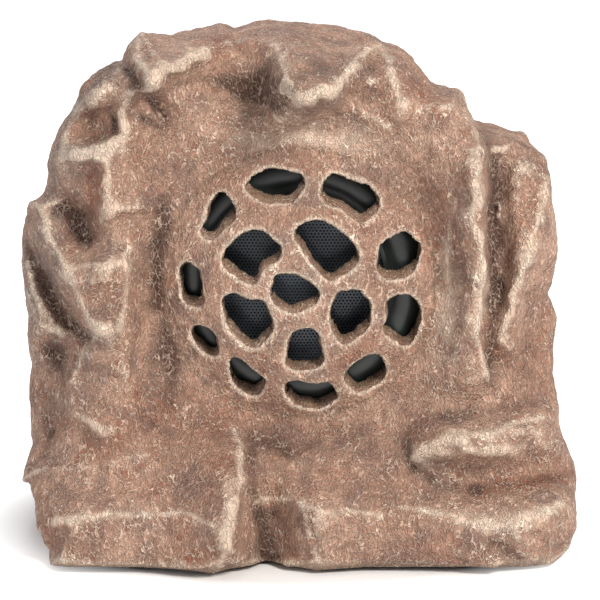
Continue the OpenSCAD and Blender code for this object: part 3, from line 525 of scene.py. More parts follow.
@dataclass
class PaintShop:
    """Makes each finish once and dresses meshes with it."""

    made: dict[str, bpy.types.Material] = field(default_factory=dict)

    def finish(self, slot: str) -> bpy.types.Material:
        """Makes a finish when it is first wanted.

        Args:
            slot: The record's material slot.

        Returns:
            Its material.
        """
        if slot not in self.made:
            special = {"cast_stone": CastStone, "clear_plastic": ClearLens}
            self.made[slot] = (special[slot]() if slot in special else PLAIN[slot]).make()
        return self.made[slot]

    def dress(self, piece: bpy.types.Object, slot: str) -> None:
        """Gives a mesh one finish all over.

        Args:
            piece: The piece.
            slot: The record's material slot.
        """
        if not piece.material_slots:
            piece.data.materials.append(None)
        for holder in piece.material_slots:
            holder.link = "OBJECT"
            holder.material = self.finish(slot)


# Clay: a mesh as arrays


def grain_noise(points: np.ndarray, size: float, seed: int) -> np.ndarray:
    """Smooth random values from -1 to 1 over space.

    Args:
        points: Rows of x, y, z.
        size: Width of a blotch, in the points' unit.
        seed: Another seed gives another pattern.

    Returns:
        One value for each point.
    """
    p = points / size + seed * 17.13
    cell = np.floor(p).astype(np.int64)
    part = p - cell
    ease = part * part * part * (part * (part * 6 - 15) + 10)
    value = np.zeros(len(p))
    for corner in range(8):
        step = np.array([corner & 1, corner >> 1 & 1, corner >> 2 & 1])
        at = cell + step
        key = (at[:, 0] * 73856093) ^ (at[:, 1] * 19349663) ^ (at[:, 2] * 83492791) ^ (seed * 2654435761)
        pull = np.zeros(len(p))
        for axis in range(3):
            key = (key * 1103515245 + 12345) & 0x7FFFFFFF
            pull += ((key >> 8) % 2048 / 1023.5 - 1) * (part[:, axis] - step[axis])
        share = np.prod(np.where(step == 1, ease, 1 - ease), axis=1)
        value += pull * share
    return np.clip(value * 1.4, -1, 1)


def layered_noise(points: np.ndarray, size: float, seed: int, layers: int = 3) -> np.ndarray:
    """Noise over noise, each layer half as wide and half as strong."""
    return sum(grain_noise(points, size / 2**i, seed + i) / 2**i for i in range(layers))


@dataclass(frozen=True)
class Lumps:
    """One size of unevenness over space.

    Width and height are in millimetres. A stretch below 1 makes the lumps longer along that axis.
    """

    width: float
    height: float
    seed: int
    layers: int = 2
    stretch: tuple[float, float, float] = (1.0, 1.0, 1.0)

    def over(self, at: np.ndarray) -> np.ndarray:
        """Their height at each point."""
        return layered_noise(at * np.array(self.stretch), self.width, self.seed, self.layers) * self.height


@dataclass
class Clay:
    """The vertices of one mesh as an array in millimetres, which strokes push about."""

    piece: bpy.types.Object
    at: np.ndarray = field(init=False)
    edges: np.ndarray = field(init=False)
    count: np.ndarray = field(init=False)

    def __post_init__(self) -> None:
        """Reads the mesh."""
        mesh = self.piece.data
        flat = np.zeros(len(mesh.vertices) * 3, np.float32)
        mesh.vertices.foreach_get("co", flat)
        self.at = flat.reshape(-1, 3).astype(float) / MM
        pairs = np.zeros(len(mesh.edges) * 2, np.int32)
        mesh.edges.foreach_get("vertices", pairs)
        self.edges = pairs.reshape(-1, 2)
        self.count = np.maximum(np.bincount(self.edges.ravel(), minlength=len(self.at)), 1)

    def blurred(self, values: np.ndarray, rounds: int = 1) -> np.ndarray:
        """Values averaged with their neighbours'.

        Args:
            values: One number or one row for each vertex.
            rounds: How many times.

        Returns:
            The averaged values.
        """
        rows = values.reshape(len(self.at), -1)
        a, b = self.edges[:, 0], self.edges[:, 1]
        for _ in range(rounds):
            rows = np.column_stack(
                [
                    (
                        np.bincount(a, column[b], len(rows))
                        + np.bincount(b, column[a], len(rows))
                        + column * self.count
                    )
                    / (2 * self.count)
                    for column in rows.T
                ]
            )
        return rows.reshape(values.shape)

    def relax(self, rounds: int, share: np.ndarray) -> None:
        """Smooths the surface, each vertex by its share.

        Args:
            rounds: How many times.
            share: How far each vertex moves to the average of its neighbours.
        """
        weight = share[:, None]
        for _ in range(rounds):
            self.at += weight * (self.blurred(self.at) - self.at)

    def normals(self, at: np.ndarray | None = None) -> np.ndarray:
        """Works out the directions in which the surface faces.

        Args:
            at: Places of the vertices, if not their own.

        Returns:
            One direction for each vertex.
        """
        mesh = self.piece.data
        self.store(self.at if at is None else at)
        flat = np.zeros(len(mesh.vertices) * 3, np.float32)
        mesh.vertex_normals.foreach_get("vector", flat)
        return flat.reshape(-1, 3).astype(float)

    def store(self, at: np.ndarray | None = None) -> None:
        """Writes places into the mesh.

        Args:
            at: Places of the vertices, if not their own.
        """
        places = self.at if at is None else at
        self.piece.data.vertices.foreach_set("co", (places * MM).astype(np.float32).ravel())
        self.piece.data.update()

    def bulge(self, rounds: int) -> np.ndarray:
        """How far each vertex stands proud of its surroundings, in millimetres.

        Args:
            rounds: Width of the surroundings, in averaging rounds.

        Returns:
            Positive on crests, negative in hollows.
        """
        return ((self.at - self.blurred(self.at, rounds)) * self.normals()).sum(1)

    def paint(self, coat: Paint, amount: np.ndarray) -> None:
        """Stores one coat of paint as an attribute."""
        layer = self.piece.data.attributes.new(coat.value, "FLOAT", "POINT")
        layer.data.foreach_set("value", np.clip(amount, 0, 1).astype(np.float32))


def apply_modifiers(piece: bpy.types.Object) -> None:
    """Turns a piece's modifiers into its mesh.

    Args:
        piece: The piece.
    """
    bpy.context.view_layer.update()
    graph = bpy.context.evaluated_depsgraph_get()
    done = bpy.data.meshes.new_from_object(piece.evaluated_get(graph), depsgraph=graph)
    piece.modifiers.clear()
    old, piece.data = piece.data, done
    bpy.data.meshes.remove(old)


# The front drawing's marks


@dataclass(frozen=True)
class Crease:
    """A crest or a valley on the front drawing.

    Each point of the line has its place in drawing units and the height of the stone there in millimetres,
    over the smooth casing. Between the creases the stone is flat.
    """

    line: tuple[tuple[float, float, float], ...]
    # a crest's cream dry-brush, a valley's umber, which is wash and painted shade, and rust stains
    cream_and_light: float = 0.0
    wash_and_shade: float = 0.0
    rust: float = 0.0

    def dense(self, step: float = 6.0) -> list[tuple[float, float, float]]:
        """Puts more points on the line.

        Args:
            step: The most that lies between two of them, in drawing units.

        Returns:
            Place and height of each point.
        """
        points = [self.line[0]]
        for start, end in zip(self.line, self.line[1:]):
            parts = max(1, math.ceil(math.dist(start[:2], end[:2]) / step))
            for i in range(1, parts + 1):
                points.append(tuple(a + (b - a) * i / parts for a, b in zip(start, end)))
        return points

    def away(self, across: np.ndarray, down: np.ndarray) -> np.ndarray:
        """Measures how far places on the drawing lie from the line.

        Args:
            across: The places' distances from the drawing's left side.
            down: Their distances from its top.

        Returns:
            The distances, in drawing units.
        """
        best = np.full(len(across), 1e9)
        for (x0, y0, _), (x1, y1, _) in zip(self.line, self.line[1:]):
            dx, dy = x1 - x0, y1 - y0
            t = np.clip(((across - x0) * dx + (down - y0) * dy) / (dx * dx + dy * dy + 1e-9), 0, 1)
            best = np.minimum(best, np.hypot(across - x0 - t * dx, down - y0 - t * dy))
        return best


@dataclass(frozen=True)
class Stain:
    """An oval patch of paint on the front drawing: stains, painted shade, painted light and painted cool
    light.
    """

    centre: Point
    radii: Point
    turn: float = 0.0
    wash_and_shade: float = 0.0
    rust: float = 0.0
    grey: float = 0.0
    cream_and_light: float = 0.0

    def share(self, across: np.ndarray, down: np.ndarray) -> np.ndarray:
        """Says how much of the stain lies at places on the drawing.

        Args:
            across: The places' distances from the drawing's left side.
            down: Their distances from its top.

        Returns:
            1 in the middle, falling to 0 well outside the oval.
        """
        c, s = math.cos(math.radians(self.turn)), math.sin(math.radians(self.turn))
        x, y = across - self.centre[0], down - self.centre[1]
        u, v = (x * c + y * s) / self.radii[0], (-x * s + y * c) / self.radii[1]
        return np.exp(-1.2 * (u * u + v * v))


# a valley's umber is wash and painted shade; under the brow's overhangs it paints their shadows
BROW: tuple[Crease, ...] = (
    Crease(((137, 38, 2), (139, 60, 4), (153, 84, 5.5)), cream_and_light=0.8),
    Crease(((153, 84, 5.5), (165, 72, 5.5), (182, 61, 5), (205, 50, 4.5)), cream_and_light=0.9),
    Crease(((205, 50, 4.5), (222, 43, 3), (245, 39, 3), (272, 42, 4)), cream_and_light=0.4),
    Crease(((128, 70, -1), (142, 88, -4), (158, 108, -4), (167, 118, -1)), wash_and_shade=0.85, rust=0.3),
    Crease(((132, 92, 1.5), (150, 112, 2), (160, 124, 1))),
    Crease(((140, 118, -1), (158, 127, -2.5), (174, 134, -1)), wash_and_shade=0.5),
    Crease(
        ((160, 94, 0), (178, 84, -1), (200, 78, -2), (225, 82, -4), (252, 93, -6.5), (280, 99, -6)),
        wash_and_shade=0.5,
    ),
    Crease(((225, 62, -0.5), (250, 66, -2), (268, 72, -4)), wash_and_shade=0.3),
    Crease(((276, 45, 4.5), (282, 62, 5.5), (286, 80, 5.5), (281, 91, 4)), cream_and_light=0.8),
    Crease(((281, 91, 4), (290, 98, 4), (300, 106, 3.5)), cream_and_light=0.3),
    Crease(((300, 106, 3.5), (312, 96, 4.5), (330, 93, 4.5), (337, 89, 5)), cream_and_light=0.95),
    Crease(((337, 89, 5), (346, 72, 5.5), (360, 55, 5), (378, 45, 3)), cream_and_light=0.7),
    Crease(((304, 113, -1), (320, 104, -3.5), (334, 108, -3)), wash_and_shade=0.7),
    Crease(((344, 96, -1), (356, 84, -1.5), (370, 68, -1.5), (381, 54, 0)), wash_and_shade=0.25),
    Crease(((381, 46, 2), (388, 62, 3.2), (394, 80, 3.2), (401, 103, 2.6)), cream_and_light=0.6),
    Crease(((401, 103, 2.6), (416, 100, 2), (440, 106, 2), (463, 112, 1.5)), cream_and_light=0.3),
    Crease(((408, 62, 0), (416, 84, 0), (434, 92, 0.5))),
    Crease(((348, 100, 1), (366, 113, 1.6), (392, 128, 1)), cream_and_light=0.2),
    Crease(((378, 112, -1.5), (402, 136, -1.5), (425, 152, -0.5)), wash_and_shade=0.25),
    Crease(((188, 112, 0), (240, 118, -0.5), (290, 122, 0), (350, 128, 0), (400, 150, 0.5))),
)
LEFT_COLUMN: tuple[Crease, ...] = (
    Crease(((112, 68, -2), (101, 80, -5), (93, 88, -3)), wash_and_shade=1.0),
    Crease(((80, 90, 0), (88, 80, 0.5), (100, 70, 0.5)), rust=0.8),
    Crease(((123, 60, 2.5), (112, 82, 2.5), (103, 92, 3), (84, 99, 3.2), (74, 110, 2.5)), cream_and_light=0.45),
    Crease(((126, 66, 1), (130, 90, 0.5), (126, 108, 2))),
    Crease(((74, 110, 2.5), (68, 135, 3), (62, 152, 3.5)), cream_and_light=0.5),
    Crease(((86, 112, -3.5), (110, 110, -4.5), (116, 124, -4.5)), wash_and_shade=0.5, rust=0.3),
    Crease(((88, 141, -4), (100, 138, -4.5), (114, 131, -4)), wash_and_shade=0.6, rust=0.3),
    Crease(((122, 112, 2), (125, 130, 3.2), (122, 150, 3)), cream_and_light=0.8),
    Crease(((62, 157, 4), (84, 152, 5), (103, 145, 5), (116, 138, 4)), cream_and_light=0.8),
    Crease(((66, 166, 3.5), (84, 162, 4), (104, 152, 5)), cream_and_light=0.3),
    Crease(((106, 152, 5), (110, 175, 4.5), (108, 209, 3.5)), cream_and_light=0.6),
    Crease(((124, 152, 2), (132, 180, 1.5), (136, 206, 2.2)), cream_and_light=0.25),
    Crease(((107, 211, 3.5), (122, 210, 3), (136, 207, 2.2)), cream_and_light=0.6),
    Crease(((104, 220, -0.5), (120, 219, -1), (136, 216, -0.5)), wash_and_shade=0.35),
    Crease(((90, 168, 1.5), (95, 188, 0), (92, 210, -3)), rust=0.6, wash_and_shade=0.2),
    Crease(((60, 172, 2.5), (66, 188, 2), (58, 202, 2)), cream_and_light=0.2),
    Crease(((66, 206, -1), (76, 218, -6), (88, 238, -6)), wash_and_shade=1.0),
    Crease(((52, 204, 2), (46, 216, 2), (52, 240, 3.5), (62, 262, 4.5), (66, 271, 5)), cream_and_light=0.55),
    Crease(((98, 236, 0), (108, 246, 0.5), (126, 240, 0))),
    Crease(((66, 271, 5), (88, 264, 4.6), (105, 267, 4.6), (123, 263, 4.4), (131, 248, 2.5)), cream_and_light=0.85),
    Crease(((68, 272, 5), (80, 302, 4.6), (95, 331, 4)), cream_and_light=0.7),
    Crease(((126, 266, 4.4), (125, 300, 3.8), (120, 331, 3)), cream_and_light=0.65),
    Crease(((140, 235, 0), (138, 280, -1), (136, 320, -0.5)), wash_and_shade=0.2),
    Crease(((26, 245, -1), (44, 288, -5), (58, 313, -5.5), (76, 329, -4.5), (90, 337, -2)), wash_and_shade=0.9),
    Crease(((24, 262, 1), (26, 292, 1), (34, 318, 2), (50, 328, 3), (72, 334, 2.5)), cream_and_light=0.5),
    Crease(((96, 337, 4), (82, 352, 3.4), (75, 372, 3)), cream_and_light=0.55),
    Crease(((75, 372, 3), (67, 400, 3), (64, 460, 2.4)), cream_and_light=0.15),
    Crease(((48, 350, -2), (58, 358, -4), (62, 375, -2.5)), wash_and_shade=0.8),
    Crease(((42, 395, -1.5), (47, 425, -2.5), (46, 455, -1.5)), wash_and_shade=0.5),
    Crease(((83, 418, 3), (93, 424, 3.6), (104, 433, 3)), cream_and_light=0.85),
    Crease(((84, 430, 1.4), (94, 437, 1.4), (102, 444, 1.6)), wash_and_shade=0.3),
    Crease(((120, 333, 3), (124, 360, 3), (130, 400, 2.4), (142, 445, 1.6)), cream_and_light=0.3),
    Crease(((150, 360, -2), (151, 395, -2.5), (153, 425, -2)), wash_and_shade=0.35),
    Crease(((158, 200, -1), (152, 250, -2.5), (152, 310, -2.5), (160, 350, -2)), wash_and_shade=0.35),
)
RIGHT_COLUMN: tuple[Crease, ...] = (
    Crease(((463, 97, 2), (469, 112, 2.4), (478, 140, 3), (480, 165, 3.2), (479, 192, 3.2)), cream_and_light=0.55),
    Crease(((479, 192, 3.2), (470, 216, 2)), cream_and_light=1.0),
    Crease(((470, 216, 2), (482, 240, 3.2), (486, 275, 3.4), (482, 308, 3)), cream_and_light=0.6),
    Crease(((482, 308, 3), (476, 332, 2.6), (486, 372, 2.2)), cream_and_light=0.6),
    Crease(((477, 112, 0), (489, 145, -3.5), (493, 175, -5.5), (495, 230, -6), (494, 300, -6)), wash_and_shade=0.7),
    Crease(((494, 300, -6), (489, 350, -5), (492, 385, -2)), wash_and_shade=0.7),
    Crease(((500, 160, 1), (530, 171, 2.2), (549, 178, 1)), cream_and_light=0.5),
    Crease(((510, 185, 1.5), (514, 240, 1.5), (508, 290, 0.5))),
    Crease(
        ((547, 184, 1.5), (541, 214, 2.6), (530, 245, 3), (522, 270, 3), (510, 302, 2.6), (503, 336, 1.6)),
        cream_and_light=0.7,
    ),
    Crease(((455, 200, 1), (447, 245, 1.8), (450, 292, 1.6)), cream_and_light=0.55),
    Crease(((440, 140, 0), (452, 170, 0.6), (458, 190, 0.8))),
    Crease(((436, 262, 0), (442, 276, -1), (452, 292, 0)), wash_and_shade=0.3),
    Crease(((520, 330, 1), (527, 370, 1.6), (522, 400, 1))),
    Crease(((448, 320, 1), (455, 360, 1), (452, 392, 0.4)), cream_and_light=0.15),
)
FEET: tuple[Crease, ...] = (
    Crease(
        ((414, 456, 3), (432, 445, 4), (455, 432, 4.6), (490, 434, 4.6), (515, 423, 4), (541, 417, 3)),
        cream_and_light=0.95,
    ),
    Crease(((416, 460, 2.4), (430, 470, 2.6), (452, 476, 2.2)), cream_and_light=0.45),
    Crease(((430, 458, 4), (470, 452, 4.4), (520, 446, 3.6), (556, 442, 1.5)), cream_and_light=0.4),
    Crease(
        ((408, 428, -2), (430, 421, -2.5), (462, 412, -3.5), (500, 408, -2.5), (532, 404, -0.5)),
        wash_and_shade=0.45,
    ),
    Crease(((405, 442, -2), (408, 462, -2.6), (436, 484, -2.6), (476, 490, -3.4)), wash_and_shade=0.7),
    Crease(((476, 490, -3.4), (518, 484, -3.4), (552, 478, -2), (574, 474, -1)), wash_and_shade=0.6, rust=0.5),
    Crease(
        ((400, 508, 1), (445, 514, 3), (470, 522, 4), (500, 526, 4), (520, 521, 4), (562, 505, 2)),
        cream_and_light=0.95,
    ),
    Crease(((420, 545, 2), (480, 552, 2.6), (545, 548, 2))),
    Crease(((488, 540, 1.4), (505, 547, 1.2), (523, 560, 1)), wash_and_shade=0.9),
    Crease(((56, 471, 2), (105, 464, 3), (146, 454, 1.8)), cream_and_light=0.45),
    Crease(((50, 492, 0), (110, 490, 0.6), (180, 484, 0.8))),
    Crease(((56, 520, 3), (115, 515, 3.8), (185, 512, 3.4), (214, 526, 2.4)), cream_and_light=0.8),
    Crease(((56, 560, 1.5), (120, 563, 2), (200, 563, 2)), cream_and_light=0.3),
    Crease(
        ((234, 430, 0), (240, 448, 3), (241, 480, 5.5), (233, 520, 6.5), (226, 550, 5.5), (219, 567, 3)),
        cream_and_light=1.0,
    ),
    Crease(((200, 440, 0), (206, 475, 2), (204, 500, 3))),
    Crease(((250, 455, -0.5), (253, 490, -1), (258, 520, -6), (268, 545, -6), (272, 566, -4)), wash_and_shade=0.85),
    Crease(((256, 502, 1), (270, 498, 1.8), (287, 500, 2)), cream_and_light=0.85),
    Crease(((262, 512, -3), (276, 512, -3.5), (286, 520, -3), (290, 548, -4)), wash_and_shade=0.5, rust=0.3),
    Crease(((302, 504, 3), (309, 530, 4.4), (318, 562, 3)), cream_and_light=0.45),
    Crease(((302, 504, 3), (325, 513, 3.4), (351, 510, 2.6), (380, 516, 1.6)), cream_and_light=0.75),
    Crease(((318, 533, 3), (340, 531, 2), (362, 533, 2)), wash_and_shade=0.5),
    Crease(((340, 560, 2), (380, 558, 1.6))),
    Crease(((254, 437, -0.6), (275, 442, -0.8), (291, 456, 0)), wash_and_shade=0.55),
    Crease(((260, 470, 0.8), (310, 474, 1), (370, 470, 0.8), (395, 480, 0.5))),
    Crease(((170, 400, 0), (190, 420, -0.6), (222, 445, -0.4)), wash_and_shade=0.3),
    Crease(((250, 425, 0), (300, 432, 0), (350, 425, 0), (390, 410, 0))),
)
CREASES: tuple[Crease, ...] = (*BROW, *LEFT_COLUMN, *RIGHT_COLUMN, *FEET)
STAINS: tuple[Stain, ...] = (
    # umber patches under the brows, in the moats and valleys beside the web and under it are painted shade as
    # well as wash
    Stain((266, 92), (44, 22), turn=4, wash_and_shade=2.0),
    Stain((205, 112), (50, 14), wash_and_shade=0.2),
    Stain((103, 122), (15, 15), wash_and_shade=0.35, rust=0.5),
    Stain((86, 86), (7, 7), rust=0.9),
    Stain((95, 186), (12, 26), rust=0.7, wash_and_shade=0.15),
    Stain((80, 224), (14, 20), turn=-14, wash_and_shade=0.7),
    Stain((56, 352), (18, 14), turn=-8, wash_and_shade=0.6),
    Stain((46, 425), (11, 42), wash_and_shade=0.5),
    Stain((133, 408), (10, 36), rust=0.6),
    Stain((168, 258), (15, 66), wash_and_shade=2.2),
    Stain((172, 352), (15, 50), wash_and_shade=1.5),
    Stain((178, 395), (20, 18), wash_and_shade=0.25),
    Stain((46, 540), (11, 34), rust=0.7),
    # grey on the left column is weathering and painted cool light
    Stain((52, 252), (13, 52), grey=0.9, wash_and_shade=0.6),
    Stain((88, 152), (28, 7), grey=0.95, cream_and_light=0.3),
    Stain((76, 170), (16, 12), grey=0.7),
    Stain((80, 104), (18, 8), turn=-18, grey=0.8),
    Stain((30, 300), (9, 60), grey=0.8),
    Stain((135, 70), (10, 30), turn=-24, rust=0.4, wash_and_shade=0.3),
    Stain((55, 150), (8, 60), turn=20, grey=0.4, wash_and_shade=0.25),
    Stain((455, 414), (42, 9), turn=-5, wash_and_shade=0.5),
    Stain((470, 524), (3.4, 2.2), wash_and_shade=1.0),
    Stain((545, 479), (22, 6), turn=-8, rust=0.6, wash_and_shade=0.3),
    Stain((494, 235), (10, 84), wash_and_shade=0.9),
    Stain((268, 538), (15, 30), wash_and_shade=0.7),
    Stain((310, 545), (8, 20), rust=0.4),
    Stain((205, 330), (16, 30), rust=0.3),
    Stain((525, 365), (28, 56), rust=0.5, wash_and_shade=0.75),
    Stain((430, 440), (24, 12), rust=0.3),
    Stain((440, 395), (46, 18), turn=-10, wash_and_shade=0.3),
    Stain((320, 440), (120, 24), wash_and_shade=0.75, rust=0.25),
    Stain((240, 36), (60, 8), rust=0.3),
    # broad cream patches on the alcove's top, beside the web and on the feet are painted light
    Stain((310, 140), (100, 28), cream_and_light=0.75),
    Stain((446, 320), (26, 70), cream_and_light=0.65),
    Stain((470, 445), (52, 22), turn=-10, cream_and_light=0.2),
    Stain((505, 515), (62, 24), turn=-4, cream_and_light=0.42),
    Stain((120, 530), (70, 20), cream_and_light=0.15),
    Stain((335, 66), (40, 22), wash_and_shade=0.9),
    Stain((160, 60), (22, 20), turn=-30, cream_and_light=0.25),
)

# The stone's edge on the front drawing, clockwise from its upper left peak
EDGE: tuple[Point, ...] = (
    (141, 30), (170, 33), (205, 28), (222, 22), (235, 27), (255, 22), (310, 22), (330, 25), (350, 30),
    (372, 34), (385, 42), (400, 47), (410, 55), (432, 84), (455, 88), (463, 94), (468, 109), (472, 119),
    (503, 126), (523, 132), (529, 143), (546, 157), (549, 172), (553, 201), (557, 239), (557, 262),
    (552, 286), (548, 291), (557, 316), (553, 349), (553, 371), (559, 404), (560, 423), (570, 445),
    (578, 468), (578, 489), (577, 528), (571, 545), (561, 558), (551, 566), (533, 570), (508, 575),
    (482, 577), (457, 576), (418, 572), (380, 571), (328, 571), (283, 569), (257, 568), (226, 575),
    (200, 577), (148, 576), (97, 577), (71, 578), (54, 574), (49, 565), (48, 553), (42, 538), (37, 524),
    (34, 505), (32, 488), (28, 484), (22, 480), (22, 472), (25, 459), (31, 446), (31, 437), (29, 405),
    (31, 365), (28, 339), (26, 314), (24, 288), (22, 256), (23, 231), (30, 203), (39, 197), (47, 188),
    (46, 164), (51, 150), (58, 131), (71, 112), (76, 99), (80, 85), (91, 75), (109, 65), (121, 60),
    (126, 47), (132, 38),
)


# The stone


class Relief:
    """The drawing's creases joined by flat facets, as heights on a grid of the drawing's units."""

    def __init__(self, creases: Iterable[Crease], hub: Point, hub_reach: float) -> None:
        """Joins the creases.

        Args:
            creases: The crests and valleys.
            hub: Middle of the web on the drawing.
            hub_reach: Radius within which the stone keeps the casing's own surface.
        """
        points = [point for crease in creases for point in crease.dense()]
        points = [p for p in points if math.dist(p[:2], hub) > hub_reach + 3]
        points += [(x, y, 0.0) for x, y in EDGE]
        points += [(x, y, 0.0) for x in (-40, PICTURE + 40) for y in (-40, PICTURE + 40)]
        turns = [2 * math.pi * i / 40 for i in range(40)]
        points += [(hub[0] + hub_reach * math.cos(t), hub[1] + hub_reach * math.sin(t), 0.0) for t in turns]
        flat = [Vector(p[:2]) for p in points]
        places, _, faces, origins, _, _ = geometry.delaunay_2d_cdt(flat, [], [], 0, 0.01)
        heights = [points[origin[0]][2] for origin in origins]
        self.grid = np.zeros((PICTURE, PICTURE))
        for face in faces:
            corners_xy = np.array([places[i] for i in face])
            self.fill(corners_xy, np.array([heights[i] for i in face]))
        for _ in range(2):
            for axis in (0, 1):
                ahead, behind = np.roll(self.grid, 1, axis), np.roll(self.grid, -1, axis)
                self.grid = 0.5 * self.grid + 0.25 * (ahead + behind)

    def fill(self, corner: np.ndarray, height: np.ndarray) -> None:
        """Draws one triangle of the relief into the grid.

        Args:
            corner: Its three corners on the drawing.
            height: The stone's height at each.
        """
        low = np.clip(np.floor(corner.min(0)).astype(int), 0, PICTURE - 1)
        high = np.clip(np.ceil(corner.max(0)).astype(int) + 1, 0, PICTURE)
        x, y = np.meshgrid(np.arange(low[0], high[0]), np.arange(low[1], high[1]))
        (ax, ay), (bx, by), (cx, cy) = corner
        area = (bx - ax) * (cy - ay) - (cx - ax) * (by - ay)
        if abs(area) < 1e-6 or not x.size:
            return
        u = ((by - cy) * (x - cx) + (cx - bx) * (y - cy)) / area
        v = ((cy - ay) * (x - cx) + (ax - cx) * (y - cy)) / area
        inside = (u > -1e-3) & (v > -1e-3) & (u + v < 1 + 1e-3)
        value = u * height[0] + v * height[1] + (1 - u - v) * height[2]
        part = self.grid[low[1] : high[1], low[0] : high[0]]
        part[inside] = value[inside]

    def at(self, across: np.ndarray, down: np.ndarray) -> np.ndarray:
        """Reads heights off the grid.

        Args:
            across: The places' distances from the drawing's left side.
            down: Their distances from its top.

        Returns:
            The heights, in millimetres.
        """
        x, y = np.clip(across, 0, PICTURE - 1.01), np.clip(down, 0, PICTURE - 1.01)
        i, j = x.astype(int), y.astype(int)
        u, v = x - i, y - j
        upper = self.grid[j, i] * (1 - u) + self.grid[j, i + 1] * u
        lower = self.grid[j + 1, i] * (1 - u) + self.grid[j + 1, i + 1] * u
        return upper * (1 - v) + lower * v


@dataclass(frozen=True)
class KeptZones:
    """Where the shell keeps its CAD surface: the web's seat, the rear pocket and the foot. In millimetres."""

    seat_r: float
    pocket_y: float
    pocket_half: float
    pocket_top: float
    foot_z: float
    seat_y: float = -28.0

    def hold(self, at: np.ndarray, web_z: float) -> np.ndarray:
        """Tells which points lie in a kept zone.

        Args:
            at: The points.
            web_z: Height of the web's middle.

        Returns:
            True where a point is kept.
        """
        x, y, z = at.T
        seat = (np.hypot(x, z - web_z) < self.seat_r) & (y < self.seat_y)
        pocket = (y > self.pocket_y) & (np.abs(x) < self.pocket_half) & (z < self.pocket_top)
        return seat | pocket | (z < self.foot_z)


